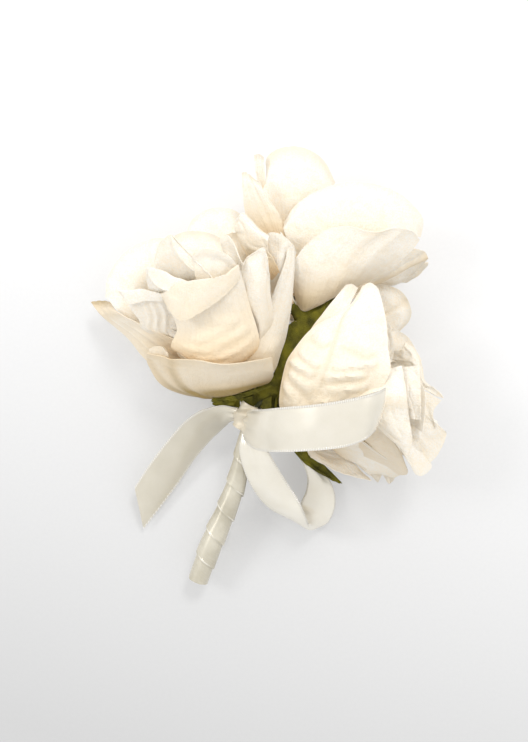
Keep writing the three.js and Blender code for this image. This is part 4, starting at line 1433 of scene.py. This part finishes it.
def makeHip(side):
    base, axis = roseAxis(side)
    start = base - axis * hip["stepsDown"] * petalForm["whorlStep"]
    share = np.linspace(0, 1, hip["steps"])
    radii = hip["topRadius"] + (hip["endRadius"] - hip["topRadius"]) * share ** hip["taper"]
    radii = radii + hip["belly"] * np.sin(math.pi * share)
    points = start - axis * (share * hip["length"])[:, None]
    middle = points[:, None]
    angles = np.linspace(0, 2 * math.pi, hip["sides"] + 1)
    rib = 1 + hip["ribDepth"] * np.cos(hip["ribs"] * angles)[None, :, None]
    grid = middle + (tubeGrid(points, radii, hip["sides"]) - middle) * rib
    cup = closedTube(f"{side}_hip_cup", grid)
    finishPiece(cup, "corsage", [f"{side}_hip"], oliveMaterial, "turned")


def makeBud(side):
    # a strip of silk rolled round the wire, its rim turned in at the tip
    base, axis = roseAxis(side)
    start = base + axis * bud["stepsUp"] * petalForm["whorlStep"]
    across = unit(np.cross(axis, [0.2, 1.0, 0.1]))
    turn, share = shares(bud["steps"], bud["rings"])
    outline = bud["neck"] + bud["belly"] * np.sin(math.pi * share ** bud["bellyPlace"])
    outline = outline - bud["tipTaper"] * share**3
    radius = bud["radius"] * outline * (bud["innerRadius"] + (1 - bud["innerRadius"]) * turn)
    angle = turn * bud["turns"] * 2 * math.pi
    rim = (1 - bud["innerLength"]) * turn * (1 - bud["rimWave"] * np.sin(3 * angle))
    height = share * bud["length"] * (bud["innerLength"] + rim)
    grid = start + axis * height[..., None] + outAt(across, np.cross(axis, across), radius, angle)
    width, length, area = gridSize(grid)
    roll = clothGrid(f"{side}_bud_silk", grid)
    giveWall(roll, bud["thickness"])
    finishPiece(roll, "corsage", [f"{side}_bud"], heartMaterial, "soft")


for side in roses:
    makeHip(side)
    makeBud(side)
print("hips and buds made")

# Pin: steel shaft ground to a point, pearl head with a small cap
pin = {
    "head": (-0.0179319, -0.0559859, 0.003),
    "direction": (0.3044, 0.8738, 0.3792),
    "length": 0.032,
    "radius": 0.00035,
    "sides": 20,
    "point": 0.004,
    "grinds": [(0.7, 0.45), (0.3, 0.12)],
    "pearl": 0.003,
    "seat": 0.0003,
    "crown": 0.93,
    "flattened": 0.985,
    "cap": 0.0011,
    "capSides": 32,
    "capDraws": [(0.0003, 0.8), (0.00025, 0.42)],
    "capWall": 0.00012,
}
steel = {
    "noise": (2200, 3),
    "stops": (0.3, 0.7),
    "dark": (0.55, 0.55, 0.57),
    "body": (0.72, 0.72, 0.73),
    "shader": {"Metallic": 1, "Roughness": 0.25},
    "bump": (0.1, 0.00005),
}
pearl = {
    "noise": (420, 3),
    "stops": (0.3, 0.7),
    "dark": (0.86, 0.81, 0.72),
    "body": (0.93, 0.90, 0.85),
    "shader": {"Roughness": 0.22, "Coat Weight": 0.6, "Coat Roughness": 0.08, "Sheen Weight": 0.2},
    "bump": (0.05, 0.0001),
}


def selectParts(parts, chosen):
    selectMesh("DESELECT")
    setMode("OBJECT")
    for part in parts():
        part.select = chosen(part)
    setMode("EDIT")


def finishPinPiece(piece, name, lift, nodes, material, smoothness):
    setMode("OBJECT")
    piece.name = name
    place = Matrix.Translation(Vector(pin["head"])) @ turnTo(pin["direction"])
    piece.data.transform(place @ Matrix.Translation((0, 0, lift)))
    finishPiece(piece, "pin", nodes, material, smoothness)


def makeShaft(material):
    length = pin["length"] - pin["pearl"] - pin["seat"] - pin["point"]
    deselectAll()
    bpy.ops.mesh.primitive_cylinder_add(vertices=pin["sides"], radius=pin["radius"], depth=length)
    shaft = bpy.context.active_object
    selectParts(lambda: shaft.data.polygons, lambda face: face.normal.z > 0.9)
    for share, scale in pin["grinds"]:
        drawOut(pin["point"] * share, scale)
    lift = pin["pearl"] + pin["seat"] + length / 2
    finishPinPiece(shaft, "pin_shaft_steel", lift, ["pin_shaft"], material, "turned")


def makePearl(material):
    deselectAll()
    bpy.ops.mesh.primitive_uv_sphere_add(segments=48, ring_count=32, radius=pin["pearl"])
    bead = bpy.context.active_object
    selectParts(lambda: bead.data.vertices, lambda corner: corner.co.z > pin["pearl"] * pin["crown"])
    bpy.ops.transform.resize(value=(1, 1, pin["flattened"]))
    finishPinPiece(bead, "pin_pearl_bead", 0, ["pin_pearl"], material, "soft")


def makeCap(material):
    deselectAll()
    bpy.ops.mesh.primitive_circle_add(vertices=pin["capSides"], radius=pin["cap"])
    cap = bpy.context.active_object
    setMode("EDIT")
    for length, scale in pin["capDraws"]:
        drawOut(length, scale)
    bpy.ops.mesh.edge_face_add()
    setMode("OBJECT")
    giveWall(cap, pin["capWall"], offset=-1)
    finishPinPiece(cap, "pin_cap_steel", pin["pearl"] * pin["crown"], [], material, "cap")


steelMaterial = makeFlecked("pinSteel", steel)
makeShaft(steelMaterial)
makePearl(makeFlecked("pinPearl", pearl))
makeCap(steelMaterial)
print("pin made")

# Studio: white paper on a table, lit from two sides
studio = {
    "floorSize": 3.0,
    "fleck": (900, 2),
    "paper": [(0.3, 0.88), (0.7, 0.9)],
    "paperGlow": 0.35,
    # the floor darkens towards the lower left, painted shade of the light's falloff
    "shadeSlant": (1.23, 3.84, 0.0),
    "shadeMiddle": 0.81,
    "shadeTones": [(0.25, 0.66), (1.0, 1.0)],
    "worldStrength": 0.92,
    "lampSize": 0.3,
    "lamps": {"key": (4.6, (0.3, 0.7, 1.1)), "fill": (3.4, (-0.85, 0.3, 0.9))},
}


def makeFloor():
    deselectAll()
    bpy.ops.mesh.primitive_plane_add(size=studio["floorSize"], location=(0, 0, 0))
    floor = bpy.context.active_object
    floor.name = "studio_floor"
    material, tree, shader, uv, place = newMaterial("floorPaper", "MixShader")
    paper = colourRamp(tree, addNoise(tree, place, *studio["fleck"]), studio["paper"])
    slant = addNode(tree, "VectorMath", {0: place, 1: studio["shadeSlant"]}, operation="DOT_PRODUCT")
    slant = addMath(tree, "ADD", slant.outputs["Value"], studio["shadeMiddle"])
    # painted falloff: darker towards the lower left, in the diffuse colour and in the glow
    shadeFalloff = colourRamp(tree, slant, studio["shadeTones"])
    diffuse = addNode(tree, "BsdfDiffuse", {"Color": mixColour(tree, 1.0, paper, shadeFalloff, "MULTIPLY")})
    glow = addNode(tree, "Emission", {"Color": shadeFalloff, "Strength": 1.0})
    seen = addNode(tree, "LightPath").outputs["Is Camera Ray"]
    share = addMath(tree, "MULTIPLY", seen, studio["paperGlow"])
    feed(tree, shader, {0: share, 1: diffuse.outputs[0], 2: glow.outputs[0]})
    floor.data.materials.append(material)


def makeLights():
    world = bpy.data.worlds.new("studioWorld")
    bpy.context.scene.world = world
    world.use_nodes = True
    sky = {"Color": (1, 1, 1), "Strength": studio["worldStrength"]}
    feed(world.node_tree, world.node_tree.nodes["Background"], sky)
    for name, (energy, place) in studio["lamps"].items():
        deselectAll()
        bpy.ops.object.light_add(type="AREA", location=place)
        lamp = bpy.context.active_object
        lamp.name = name + "_lamp"
        lamp.data.energy = energy
        lamp.data.size = studio["lampSize"]
        lamp.rotation_euler = (-Vector(place)).to_track_quat("-Z", "Y").to_euler()


def makeCamera():
    deselectAll()
    place = Vector(view["shift"]) + Vector((0, 0, view["height"]))
    bpy.ops.object.camera_add(location=place, rotation=(0, 0, 0))
    camera = bpy.context.active_object
    camera.name = "photo_camera"
    reach = view["height"] - view["bindingHeight"]
    focalPixels = reach * view["bloomReachPixels"] / view["bloomReach"]
    camera.data.sensor_fit = "HORIZONTAL"
    camera.data.sensor_width = view["sensor"]
    camera.data.lens = focalPixels / view["pixelsAcross"] * view["sensor"]
    camera.data.clip_start = view["clipStart"]
    bpy.context.scene.camera = camera


makeFloor()
makeLights()
makeCamera()
bpy.context.scene.view_settings.view_transform = "Standard"
print("studio made")

# Finish
print("scene made")
